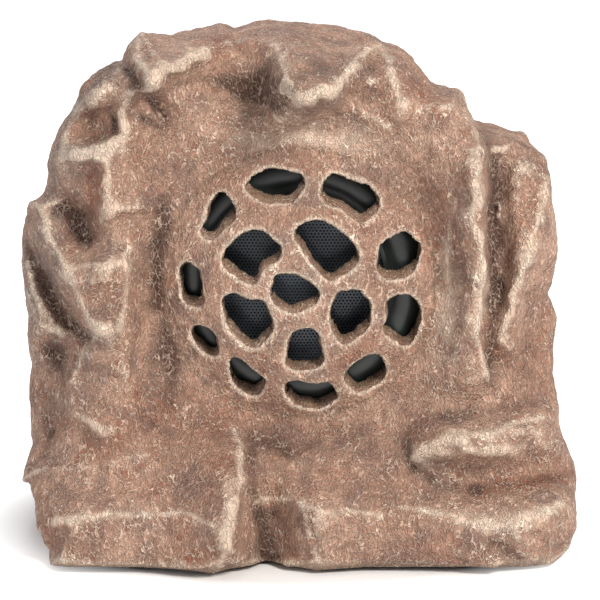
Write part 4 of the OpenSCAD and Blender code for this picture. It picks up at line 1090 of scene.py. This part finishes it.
@dataclass
class CarvedStone:
    """The cast stone: the CAD shell, remeshed finely and carved after the front drawing.

    Sizes are in millimetres, and those of the hub in drawing units. Rounds count how often vertices are
    averaged with their neighbours.
    """

    drawing: FrontDrawing
    shop: PaintShop
    web_z: float
    voxel: float = 1.35
    most_faces: int = 192000
    # the web, and the sphere that its front is part of
    web_r: float = 62.0
    web_back_y: float = -40.0
    dome_r: float = 108.1
    dome_y: float = 24.1
    # the opening of the rear pocket, its middle at pocket_z
    pocket_y: float = 60.0
    pocket_half: float = 56.0
    pocket_z: float = 58.0
    pocket_half_z: float = 36.0
    # points beyond these lie on the outer skin for certain
    surely_x: float = 132.0
    surely_z: float = 247.0
    rim_z: float = 12.0
    sole_z: float = 5.0
    # how much the thin wall grows before it is carved, and where it doesn't
    swell: float = 3.6
    unswollen: KeptZones = KeptZones(80, 45, 66, 106, 14)
    seats: KeptZones = KeptZones(84, 50, 64, 104, 16)
    smoothing: int = 8
    # the strip round the web that is smoothed flat
    strip_in: tuple[float, float] = (64.0, 70.0)
    strip_out: tuple[float, float] = (100.0, 84.0)
    strip_rounds: int = 40
    # how deep a form may be, away from the web and beside it, and where the forms end towards the back
    deepest: float = 18.0
    deepest_by_web: float = 5.0
    forms_y: tuple[float, float] = (56.0, -8.0)
    proudest: float = 4.2
    taming_rounds: tuple[int, ...] = (240, 90, 30)
    thinnest: float = 5.0
    search: float = 14.0
    hub: Point = (300.0, 292.0)
    hub_reach: float = 134.0
    # the web's holes: how much they widen to the front, and how much their sills rise to the back
    widen: float = 2.2
    sill: float = 0.3
    # the chips of the sides and the back
    blows: int = 150
    blow_tilt: float = 0.24
    blow_reach: tuple[float, float] = (16.0, 40.0)
    blow_depth: tuple[float, float] = (0.8, 3.0)
    blow_seed: int = 5
    # how wide a crest's cream and a groove's umber, which is wash and painted shade, lie beside the drawn
    # line, in drawing units
    line_reach: float = 2.2
    brush_reach: float = 9.0
    wash_and_shade_reach: float = 8.0
    wobble_across: Lumps = Lumps(13, 2.4, seed=72, layers=3)
    wobble_down: Lumps = Lumps(13, 2.4, seed=78, layers=3)
    broad: Lumps = Lumps(26, 1.1, seed=11)
    middling: Lumps = Lumps(9, 0.65, seed=18)
    fine: Lumps = Lumps(3.6, 0.42, seed=24, layers=1, stretch=(1, 1, 0.7))
    pits: Lumps = Lumps(6.5, 1.0, seed=34, layers=1)
    jags: Lumps = Lumps(6.5, 1.15, seed=42, stretch=(1, 0.35, 1))
    rusty: Lumps = Lumps(38, 1.0, seed=52)
    greyed: Lumps = Lumps(30, 1.0, seed=58)
    patchy: Lumps = Lumps(9, 0.5, seed=82)

    def remeshed(self, node: bpy.types.Object) -> bpy.types.Object:
        """Copies the shell and gives it an even mesh.

        Args:
            node: The CAD node.

        Returns:
            The new piece.
        """
        piece = bpy.data.objects.new("carved_stone", node.data.copy())
        bpy.context.scene.collection.objects.link(piece)
        piece.data.materials.clear()
        shell = bmesh.new()
        shell.from_mesh(piece.data)
        bmesh.ops.remove_doubles(shell, verts=shell.verts, dist=2e-6)
        shell.to_mesh(piece.data)
        shell.free()
        self.even_out(piece)
        return piece

    def even_out(self, piece: bpy.types.Object) -> None:
        """Remeshes the piece into small faces of one size.

        Args:
            piece: The piece.
        """
        even = piece.modifiers.new("even", "REMESH")
        even.mode, even.voxel_size, even.use_smooth_shade = "VOXEL", self.voxel * MM, True
        apply_modifiers(piece)

    def swells(self, clay: Clay) -> np.ndarray:
        """How far the wall may be thickened: 1 but for the kept zones, with soft borders."""
        return clay.blurred(1.0 - self.unswollen.hold(clay.at, self.web_z), 4)

    def thickened(self, piece: bpy.types.Object) -> Clay:
        """Thickens the wall where the front's grooves leave it too thin to carve, and evens the mesh again.

        Args:
            piece: The remeshed shell.

        Returns:
            Its vertices.
        """
        clay = Clay(piece)
        clay.at += clay.normals() * (self.swell * self.swells(clay))[:, None]
        clay.store()
        self.even_out(piece)
        return Clay(piece)

    def web_radius(self, at: np.ndarray) -> np.ndarray:
        """Distance from the web's axis."""
        return np.hypot(at[:, 0], at[:, 2] - self.web_z)

    def in_web(self, at: np.ndarray, past: float = 3.0) -> np.ndarray:
        """Whether points lie in the web, or past its border by no more than is given."""
        return (self.web_radius(at) < self.web_r + past) & (at[:, 1] < self.web_back_y)

    def behind_dome(self, at: np.ndarray) -> np.ndarray:
        """How deep points lie behind the web's domed front, within the web."""
        from_centre = at - np.array([0.0, self.dome_y, self.web_z])
        return self.dome_r - np.linalg.norm(from_centre, axis=1)

    def outside_share(self, clay: Clay) -> tuple[np.ndarray, np.ndarray]:
        """Tells the outer skin from the hollow inside, by spreading over the mesh from the stone's sides.

        Args:
            clay: The stone.

        Returns:
            A share for each vertex, 1 on the skin, and the smoothed outward directions.
        """
        out = clay.normals(clay.blurred(clay.at, 25))
        x, y, z = clay.at.T
        raw = clay.normals()
        inward = raw[:, 0] * x + raw[:, 1] * y < 0
        rim = (z < self.rim_z) & (inward | (raw[:, 2] < -0.4) & (z < self.sole_z))
        beside = (np.abs(x) < self.pocket_half) & (np.abs(z - self.pocket_z) < self.pocket_half_z)
        way = ~((y > self.pocket_y) & beside | self.in_web(clay.at) | rim)
        skin = way & ((np.abs(x) > self.surely_x) | (z > self.surely_z))
        a, b = clay.edges[:, 0], clay.edges[:, 1]
        reached = 0
        while skin.sum() > reached:
            reached = skin.sum()
            for _ in range(8):
                skin[b[skin[a]]] = True
                skin[a[skin[b]]] = True
                skin &= way
        return clay.blurred(skin.astype(float), 3), out

    def wobbled(self, at: np.ndarray) -> tuple[np.ndarray, np.ndarray]:
        """Places points on the drawing, moved about a little so that no line of it runs straight.

        Args:
            at: The points.

        Returns:
            Across and down, one value for each point.
        """
        across, down, _ = self.drawing.project(at)
        return across + self.wobble_across.over(at), down + self.wobble_down.over(at)

    def carve(self, clay: Clay) -> None:
        """Cuts the forms of the front drawing and the chips of the other sides.

        Args:
            clay: The thickened stone.
        """
        share, out = self.outside_share(clay)
        clay.at -= out * (self.swell * share * self.swells(clay))[:, None]
        web = self.in_web(clay.at)
        lining = np.where(self.seats.hold(clay.at, self.web_z), 0, 1 - share)
        free = clay.blurred(share + lining, 4)
        clay.relax(self.smoothing, free * 0.95)
        clay.relax(3, np.where(web, 0.5, 0.0))
        r = self.web_radius(clay.at)
        strip = smoothstep(*self.strip_in, r) * smoothstep(*self.strip_out, r)
        clay.relax(self.strip_rounds, strip * share * (clay.at[:, 1] < self.web_back_y))

        # one push along the view, the same for the skin and the lining behind it, keeps the wall's thickness
        relief = Relief(CREASES, self.hub, self.hub_reach)
        view = self.drawing.view
        height = relief.at(*self.wobbled(clay.at))
        by_web = smoothstep(104, 86, self.web_radius(clay.at))
        shallow = -self.deepest + (self.deepest - self.deepest_by_web) * by_web
        height = np.maximum(height, shallow) * smoothstep(*self.forms_y, clay.at[:, 1]) * free
        clay.at += view * height[:, None]

        # what stands proud or lies deep is drawn in, so that no ridge is a thin fin from the side
        for rounds in self.taming_rounds:
            proud = clay.bulge(rounds)
            clay.at += clay.normals(clay.blurred(clay.at, 12)) * (self.tamed(proud) * share * ~web)[:, None]

        facing = smoothstep(-0.25, 0.35, out @ view) * share
        self.chip(clay, share * (1 - facing), out)
        self.fit_edge(clay)
        self.keep_wall(clay, share)
        clay.store()

    def tamed(self, proud: np.ndarray) -> np.ndarray:
        """The correction that holds heights within the greatest one, without flattening the small ones."""
        return self.proudest * np.tanh(proud / self.proudest) - proud

    def keep_wall(self, clay: Clay, share: np.ndarray) -> None:
        """Moves the lining back into the hollow wherever the carving has come too near to it.

        Args:
            clay: The stone.
            share: 1 on the outer skin.
        """
        hollow = clay.normals(clay.blurred(clay.at, 3))
        faces = [tuple(face.vertices) for face in clay.piece.data.polygons]
        outer = [face for face in faces if share[list(face)].min() > 0.5]
        skin = BVHTree.FromPolygons([tuple(place) for place in clay.at], outer)
        reach = self.search + self.thinnest
        push = np.zeros(len(clay.at))
        held = (clay.at[:, 2] < 6) | (self.web_radius(clay.at) < self.web_r + 3)
        for i in np.flatnonzero((share < 0.3) & ~held):
            way = Vector(-hollow[i])
            _, _, _, far = skin.ray_cast(Vector(clay.at[i]) - way * self.search, way, reach)
            if far is not None:
                push[i] = reach - far
        for _ in range(4):
            push = np.maximum(push, clay.blurred(push))
        clay.at += hollow * push[:, None]

    def chip(self, clay: Clay, share: np.ndarray, out: np.ndarray) -> None:
        """Breaks the sides, the back and the top into flat chips, as a mason's blows would.

        Args:
            clay: The stone.
            share: How far each vertex may be cut.
            out: Smoothed outward directions.
        """
        dice = np.random.default_rng(self.blow_seed)
        open_to = np.flatnonzero(share > 0.5)
        for _ in range(self.blows):
            start = clay.at[dice.choice(open_to)]
            facing = out[dice.choice(np.flatnonzero(np.linalg.norm(clay.at - start, axis=1) < 3.0))]
            blow = facing + dice.normal(0, self.blow_tilt, 3)
            blow /= np.linalg.norm(blow)
            reach, depth = dice.uniform(*self.blow_reach), dice.uniform(*self.blow_depth)
            near = np.linalg.norm(clay.at - start, axis=1) < reach
            over = (clay.at[near] - start) @ blow + depth
            over = np.clip(over, 0, depth) * share[near]
            clay.at[near] -= blow * (over * 0.9)[:, None]

    def fit_edge(self, clay: Clay, turns: int = 300) -> None:
        """Pulls the skin near the silhouette in or out until the stone's edge is the drawn one.

        Args:
            clay: The stone.
            turns: Into how many directions from the drawing's middle the edge is sorted.
        """
        middle = PICTURE / 2
        edge = np.array(EDGE) - middle
        angle = np.arctan2(edge[:, 1], edge[:, 0])
        order = np.argsort(angle)
        angle, radius = angle[order], np.hypot(edge[:, 0], edge[:, 1])[order]
        angle = np.concatenate([angle - 2 * math.pi, angle, angle + 2 * math.pi])
        radius = np.tile(radius, 3)
        for _ in range(4):
            across, down, away = self.drawing.project(clay.at)
            turn = np.arctan2(down - middle, across - middle)
            reach = np.hypot(across - middle, down - middle)
            slot = ((turn + math.pi) / (2 * math.pi) * turns).astype(int) % turns
            outermost = np.zeros(turns)
            np.maximum.at(outermost, slot, reach)
            centres = (np.arange(turns) + 0.5) / turns * 2 * math.pi - math.pi
            wanted = np.interp(centres, angle, radius)
            factor = np.convolve(np.pad(wanted / outermost, 1, "wrap"), (0.15, 0.7, 0.15), "valid")
            spot = (turn + math.pi) / (2 * math.pi) * turns - 0.5
            slots = np.arange(turns + 2) - 1
            now = np.interp(spot, slots, np.pad(factor, 1, "wrap"))
            rim = np.interp(spot, slots, np.pad(outermost, 1, "wrap"))
            pull = smoothstep(0.72, 0.96, reach / rim) * (now - 1)
            side = (across - middle) * pull * away / self.drawing.scale
            rise = -(down - middle) * pull * away / self.drawing.scale
            clay.at[:, 0] += side
            clay.at[:, 2] += np.where(clay.at[:, 2] < 14, rise * smoothstep(2, 14, clay.at[:, 2]), rise)

    def roughen(self, clay: Clay) -> None:
        """Gives the skin its uneven casting and the web its broken edges.

        Args:
            clay: The carved stone.
        """
        share, _ = self.outside_share(clay)
        out = clay.normals()
        broad, middle, fine = (lumps.over(clay.at) for lumps in (self.broad, self.middling, self.fine))
        pits = -np.clip(self.pits.over(clay.at) - 0.45, 0, 1) * 0.9
        crisp = clay.bulge(3) * 1.1 + clay.bulge(14) * 0.4 * smoothstep(64, 96, self.web_radius(clay.at))
        web = self.in_web(clay.at)
        clay.at += out * ((broad + middle + fine + pits + np.clip(crisp, -2.5, 2.5)) * share)[:, None]
        depth = self.behind_dome(clay.at)
        walls = web & (clay.at[:, 1] < -44)
        on_wall = smoothstep(0.25, 0.75, 1 - np.abs(out[:, 1]))
        skin = (fine * 1.2 + middle * 0.9) * smoothstep(4.0, 1.0, depth)
        opened = self.jags.over(clay.at) - self.widen * smoothstep(9.0, 0.0, depth)
        clay.at += out * (np.where(walls, opened * on_wall + skin, 0))[:, None]
        sill = walls & (out[:, 2] > 0.4)
        clay.at[:, 2] += np.where(sill, np.clip(depth, 0, 10) * self.sill * on_wall, 0)
        clay.store()

    def thin_out(self, piece: bpy.types.Object, clay: Clay) -> None:
        """Spares the face its fine mesh and makes the rest coarser, down to the face limit.

        Args:
            piece: The piece.
            clay: Its vertices.
        """
        share, out = self.outside_share(clay)
        kept = smoothstep(-0.15, 0.15, out @ self.drawing.view) * share
        web = self.in_web(clay.at) & (clay.at[:, 1] < -50) & (self.behind_dome(clay.at) < 16)
        kept = np.where(web, 1, kept)
        group = piece.vertex_groups.new(name="spare")
        steps = np.round(1 - kept, 1)
        for value in np.unique(steps):
            group.add(np.flatnonzero(steps == value).tolist(), float(value), "REPLACE")
        triangles = sum(len(p.vertices) - 2 for p in piece.data.polygons)
        thin = piece.modifiers.new("thin", "DECIMATE")
        thin.ratio = min(1.0, self.most_faces / triangles)
        thin.vertex_group, thin.vertex_group_factor = group.name, 0.02
        apply_modifiers(piece)
        piece.vertex_groups.clear()

    def coat(self, clay: Clay) -> None:
        """Lays the paint: cream on crests and as painted light, umber wash and painted shade in hollows, grey
        with painted cool light, khaki walls with painted shade, and the drawing's own touches.

        Args:
            clay: The finished stone.
        """
        share, out = self.outside_share(clay)
        across, down = self.wobbled(clay.at)
        facing = smoothstep(-0.2, 0.3, out @ self.drawing.view) * share
        a, b = clay.edges.T
        lengths = np.linalg.norm(clay.at[a] - clay.at[b], axis=1)
        total = np.bincount(a, lengths, len(clay.at)) + np.bincount(b, lengths, len(clay.at))
        sharp = clay.blurred(clay.bulge(4), 1) / np.maximum(total / clay.count, 0.5) ** 2
        form = clay.bulge(40)
        cream_and_light = 0.6 * smoothstep(0.06, 0.34, sharp) + 0.35 * smoothstep(0.3, 1.6, form)
        # umber in the fine creases and the broad hollows is painted shade, in the way of ambient occlusion,
        # as well as wash
        wash_and_shade = 0.6 * smoothstep(-0.08, -0.45, sharp) + 0.7 * smoothstep(-0.4, -2.0, form)
        rust = 0.45 * smoothstep(0.25, 0.7, self.rusty.over(clay.at))
        # random grey weathering on the sides; the stains below add painted cool light on the left
        grey = 0.5 * smoothstep(0.3, 0.75, self.greyed.over(clay.at)) * (1 - facing)
        patchy = 0.75 + self.patchy.over(clay.at)
        for crease in CREASES:
            away = crease.away(across, down)
            on_line = 0.75 * np.exp(-((away / self.line_reach) ** 2))
            spread = on_line + 0.45 * np.exp(-((away / self.brush_reach) ** 2))
            cream_and_light = cream_and_light + crease.cream_and_light * spread * facing * patchy
            wide = np.exp(-((away / self.wash_and_shade_reach) ** 2)) * facing
            wash_and_shade, rust = wash_and_shade + crease.wash_and_shade * wide, rust + crease.rust * wide
        # the stains lay painted shade, painted light and painted cool light as well as real stains
        for stain in STAINS:
            spot = stain.share(across, down) * facing * patchy
            wash_and_shade, rust = wash_and_shade + stain.wash_and_shade * spot, rust + stain.rust * spot
            grey, cream_and_light = grey + stain.grey * spot, cream_and_light + stain.cream_and_light * spot
        in_web = self.in_web(clay.at, past=2.0)
        depth = self.behind_dome(clay.at)
        # more than 2 mm behind the web's front the walls turn khaki, as painted shade
        deep = np.where(in_web, smoothstep(2.0, 7.0, depth), 0.0)
        inside = np.where(in_web, 0.0, 1 - share)
        rim = np.where(in_web, smoothstep(0.2, 1.0, depth) * smoothstep(4.0, 1.6, depth), 0.0)
        clay.paint(Paint.CREAM_AND_LIGHT, (cream_and_light + 0.5 * rim) * (1 - deep))
        clay.paint(Paint.WASH_AND_SHADE, wash_and_shade * (1 - rim) * 0.9)
        clay.paint(Paint.RUST, rust)
        clay.paint(Paint.GREY_AND_COOL_LIGHT, grey)
        clay.paint(Paint.WALL, np.maximum(deep, inside * (clay.at[:, 2] > 2.2)))

    def build(self, nodes: dict[str, bpy.types.Object]) -> bpy.types.Object:
        """Makes the stone in place of its CAD node.

        Args:
            nodes: The CAD nodes by name.

        Returns:
            The stone.
        """
        piece = self.remeshed(nodes["rock_shell"])
        clay = self.thickened(piece)
        LOG.info("stone remeshed to %d vertices", len(clay.at))
        self.carve(clay)
        self.even_out(piece)
        clay = Clay(piece)
        self.roughen(clay)
        self.thin_out(piece, clay)
        final = Clay(piece)
        self.coat(final)
        final.store()
        piece.data.polygons.foreach_set("use_smooth", [True] * len(piece.data.polygons))
        piece.data.materials.clear()
        piece.data.materials.append(self.shop.finish("cast_stone"))
        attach(piece, "rock")
        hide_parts("rock_shell")
        LOG.info("stone carved, %d polygons", len(piece.data.polygons))
        return piece


# The grille


@dataclass
class PerforatedDisc:
    """The perforated steel disc behind the web, slightly domed, with a plain border. Sizes in millimetres."""

    shop: PaintShop
    pitch: float = 1.7
    hole: float = 1.2
    radius: float = 44.0
    pierced_r: float = 42.4
    thickness: float = 0.7
    crown: float = 1.6

    def cell(self, mesh: bmesh.types.BMesh) -> list[bmesh.types.BMFace]:
        """Makes one six-sided cell with a hole in it.

        Args:
            mesh: Where it goes.

        Returns:
            Its faces.
        """
        loops = []
        for radius in (self.pitch / math.sqrt(3), self.hole / 2):
            made = bmesh.ops.create_circle(mesh, segments=6, radius=radius * MM)
            turned = Matrix.Rotation(math.pi / 6, 3, "Z")
            bmesh.ops.rotate(mesh, verts=made["verts"], cent=(0, 0, 0), matrix=turned)
            loops += list({e for v in made["verts"] for e in v.link_edges})
        return bmesh.ops.bridge_loops(mesh, edges=loops)["faces"]

    def spread(self, mesh: bmesh.types.BMesh) -> None:
        """Repeats the cell over the disc and drops what falls outside.

        Args:
            mesh: Where the cells go.
        """
        half = int(self.radius / self.pitch) + 2
        row = self.cell(mesh)
        cell = list(row)
        for i in range(-half, half + 1):
            if i:
                made = bmesh.ops.duplicate(mesh, geom=cell)["geom"]
                verts = [g for g in made if isinstance(g, bmesh.types.BMVert)]
                bmesh.ops.translate(mesh, verts=verts, vec=(i * self.pitch * MM, 0, 0))
                row += [g for g in made if isinstance(g, bmesh.types.BMFace)]
        rise = self.pitch * math.sqrt(3) / 2
        for j in range(-half, half + 1):
            if j:
                made = bmesh.ops.duplicate(mesh, geom=row)["geom"]
                verts = [g for g in made if isinstance(g, bmesh.types.BMVert)]
                shift = (self.pitch / 2 if j % 2 else 0, j * rise, 0)
                bmesh.ops.translate(mesh, verts=verts, vec=Vector(shift) * MM)
        bmesh.ops.remove_doubles(mesh, verts=mesh.verts, dist=0.02 * MM)
        far = [f for f in mesh.faces if f.calc_center_median().length > self.pierced_r * MM]
        bmesh.ops.delete(mesh, geom=far, context="FACES")

    def build(self) -> bpy.types.Object:
        """Makes the disc in place of its CAD node.

        Returns:
            The disc.
        """
        low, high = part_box("speaker_grille")
        mesh = bmesh.new()
        self.spread(mesh)
        bmesh.ops.recalc_face_normals(mesh, faces=mesh.faces)
        if sum(f.normal.z for f in mesh.faces) < 0:
            bmesh.ops.reverse_faces(mesh, faces=mesh.faces)
        bmesh.ops.solidify(mesh, geom=mesh.faces[:], thickness=self.thickness * MM)
        loops = []
        for radius in (self.radius, self.pierced_r - 1.2):
            made = bmesh.ops.create_circle(mesh, segments=96, radius=radius * MM)
            loops += list({e for v in made["verts"] for e in v.link_edges})
        border = bmesh.ops.bridge_loops(mesh, edges=loops)["faces"]
        bmesh.ops.recalc_face_normals(mesh, faces=border)
        if border[0].normal.z < 0:
            bmesh.ops.reverse_faces(mesh, faces=border)
        bmesh.ops.solidify(mesh, geom=border, thickness=(self.thickness + 0.1) * MM)
        for vert in mesh.verts:
            r = vert.co.xy.length / MM
            vert.co.z += self.crown * MM * max(0.0, 1 - (r / self.pierced_r) ** 2)
        upright = Matrix.Rotation(math.pi / 2, 3, "X")
        bmesh.ops.rotate(mesh, verts=mesh.verts, cent=(0, 0, 0), matrix=upright)
        middle = (low + high) / 2
        bmesh.ops.translate(mesh, verts=mesh.verts, vec=(middle.x, low.y + 0.05 * MM, middle.z))
        data = bpy.data.meshes.new("perforated_disc")
        mesh.to_mesh(data)
        mesh.free()
        piece = bpy.data.objects.new("perforated_disc", data)
        bpy.context.scene.collection.objects.link(piece)
        self.shop.dress(piece, "grille_steel")
        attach(piece, "rock")
        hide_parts("speaker_grille")
        LOG.info("perforated disc, %d polygons", len(data.polygons))
        return piece


# CAD parts that stay


@dataclass
class CarriedParts:
    """The CAD nodes that keep their shape and get their real finish."""

    shop: PaintShop
    record: dict

    def dress(self, nodes: dict[str, bpy.types.Object]) -> None:
        """Gives each node the finish of its record slot.

        Args:
            nodes: The CAD nodes by name.
        """
        slots = {part["node"]: part["material_slot"] for part in self.record["subparts"]}
        for name, node in nodes.items():
            self.shop.dress(node, slots[name])
        LOG.info("dressed %d nodes", len(nodes))


# Studio


@dataclass(frozen=True)
class Lamp:
    """One soft lamp: a square panel that looks at the middle of the stone. Lengths in metres."""

    name: str
    place: tuple[float, float, float]
    size: float
    power: float
    colour: str = "#ffffff"

    def hang(self, aim: Vector) -> None:
        """Adds the lamp.

        Args:
            aim: The point that it looks at.
        """
        data = bpy.data.lights.new(self.name, "AREA")
        data.size, data.energy, data.color = self.size, self.power, linear(self.colour)[:3]
        lamp = bpy.data.objects.new(self.name, data)
        bpy.context.scene.collection.objects.link(lamp)
        lamp.location = self.place
        lamp.rotation_euler = (aim - Vector(self.place)).to_track_quat("-Z", "Y").to_euler()


@dataclass(frozen=True)
class Studio:
    """A pale floor, a white surround and soft light."""

    drawing: FrontDrawing
    floor_half: float = 8.0
    floor_glow: float = 0.75
    tooth_mm: float = 2.5
    # half the width and depth of the floor under the stone
    shade_half: tuple[float, float] = (0.137, 0.117)
    lamps: tuple[Lamp, ...] = (
        Lamp("key", (0.85, -1.2, 1.1), 0.4, 29.0, "#fffaf4"),
        Lamp("top", (0.0, 0.15, 1.5), 0.9, 5.0),
        Lamp("fill", (-1.3, -1.0, 0.5), 1.0, 4.0, "#f0f5ff"),
        Lamp("back", (-0.4, 1.4, 0.9), 0.9, 6.0),
    )
    world_strength: float = 0.5

    def surround(self) -> None:
        """Lights the scene evenly from all sides, and shows white where the camera sees past the floor."""
        world = bpy.data.worlds.new("white_surround")
        bpy.context.scene.world = world
        world.use_nodes = True
        g = Graph(world.node_tree)
        g.tree.nodes.clear()
        path = g.add("ShaderNodeLightPath").outputs
        rays = {0: path["Is Camera Ray"], 1: path["Is Transmission Ray"]}
        seen = g.add("ShaderNodeMath", rays, operation="MAXIMUM")
        strength = g.add("ShaderNodeMapRange", {"Value": seen, "To Min": self.world_strength, "To Max": 1.0})
        shade = g.add("ShaderNodeBackground", {"Color": linear("#ffffff"), "Strength": strength})
        g.add("ShaderNodeOutputWorld", {"Surface": shade})

    def floor(self) -> None:
        """Lays a pale floor that keeps the stone's shadow."""
        mesh = bmesh.new()
        bmesh.ops.create_grid(mesh, x_segments=2, y_segments=2, size=self.floor_half)
        data = bpy.data.meshes.new("floor")
        mesh.to_mesh(data)
        mesh.free()
        floor = bpy.data.objects.new("floor", data)
        bpy.context.scene.collection.objects.link(floor)
        g = MaterialGraph("white_paper_floor")
        where = g.add("ShaderNodeTexCoord").outputs["Object"]
        tooth = g.add("ShaderNodeTexNoise", {"Vector": where, "Scale": 1 / (self.tooth_mm * MM)})
        rough = g.add("ShaderNodeMapRange", {"Value": tooth, "To Min": 0.85, "To Max": 1.0})
        g.feed(Base_Color=linear("#f4f4f4"), Roughness=rough, Specular_IOR_Level=0.1)
        # white to the camera, but not under the stone, where the gap stays dark
        half = {0: where, 1: (1 / self.shade_half[0], 1 / self.shade_half[1], 0.0)}
        spread = g.add("ShaderNodeVectorMath", half, operation="MULTIPLY")
        spread = g.add("ShaderNodeVectorMath", {0: spread}, operation="LENGTH").outputs["Value"]
        open_floor = g.add(
            "ShaderNodeMapRange",
            {"Value": spread, "From Min": 0.95, "From Max": 1.25, "To Max": self.floor_glow},
        )
        path = g.add("ShaderNodeLightPath").outputs
        rays = {0: path["Is Camera Ray"], 1: path["Is Glossy Ray"]}
        seen = g.add("ShaderNodeMath", rays, operation="MAXIMUM")
        glow = g.add("ShaderNodeMath", {0: seen, 1: open_floor}, operation="MULTIPLY")
        g.feed(Emission_Color=linear("#ffffff"), Emission_Strength=glow)
        data.materials.append(g.material)

    def build(self) -> None:
        """Puts up the whole studio."""
        self.surround()
        self.floor()
        aim = Vector(self.drawing.target) * MM
        for lamp in self.lamps:
            lamp.hang(aim)
        view = bpy.context.scene.view_settings
        view.view_transform = "Standard"
        LOG.info("studio with %d lamps", len(self.lamps))


def main() -> None:
    """Builds the speaker's looks in order."""
    logging.basicConfig(level=logging.INFO, format="%(name)s: %(message)s")
    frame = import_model()
    nodes = frame["nodes"]
    drawing = FrontDrawing()
    drawing.make_camera()
    shop = PaintShop()
    low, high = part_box("grille_ring")
    CarriedParts(shop, frame["record"]).dress(nodes)
    CarvedStone(drawing, shop, web_z=(low.z + high.z) / 2 / MM).build(nodes)
    PerforatedDisc(shop).build()
    Studio(drawing).build()


if __name__ == "__main__":
    main()
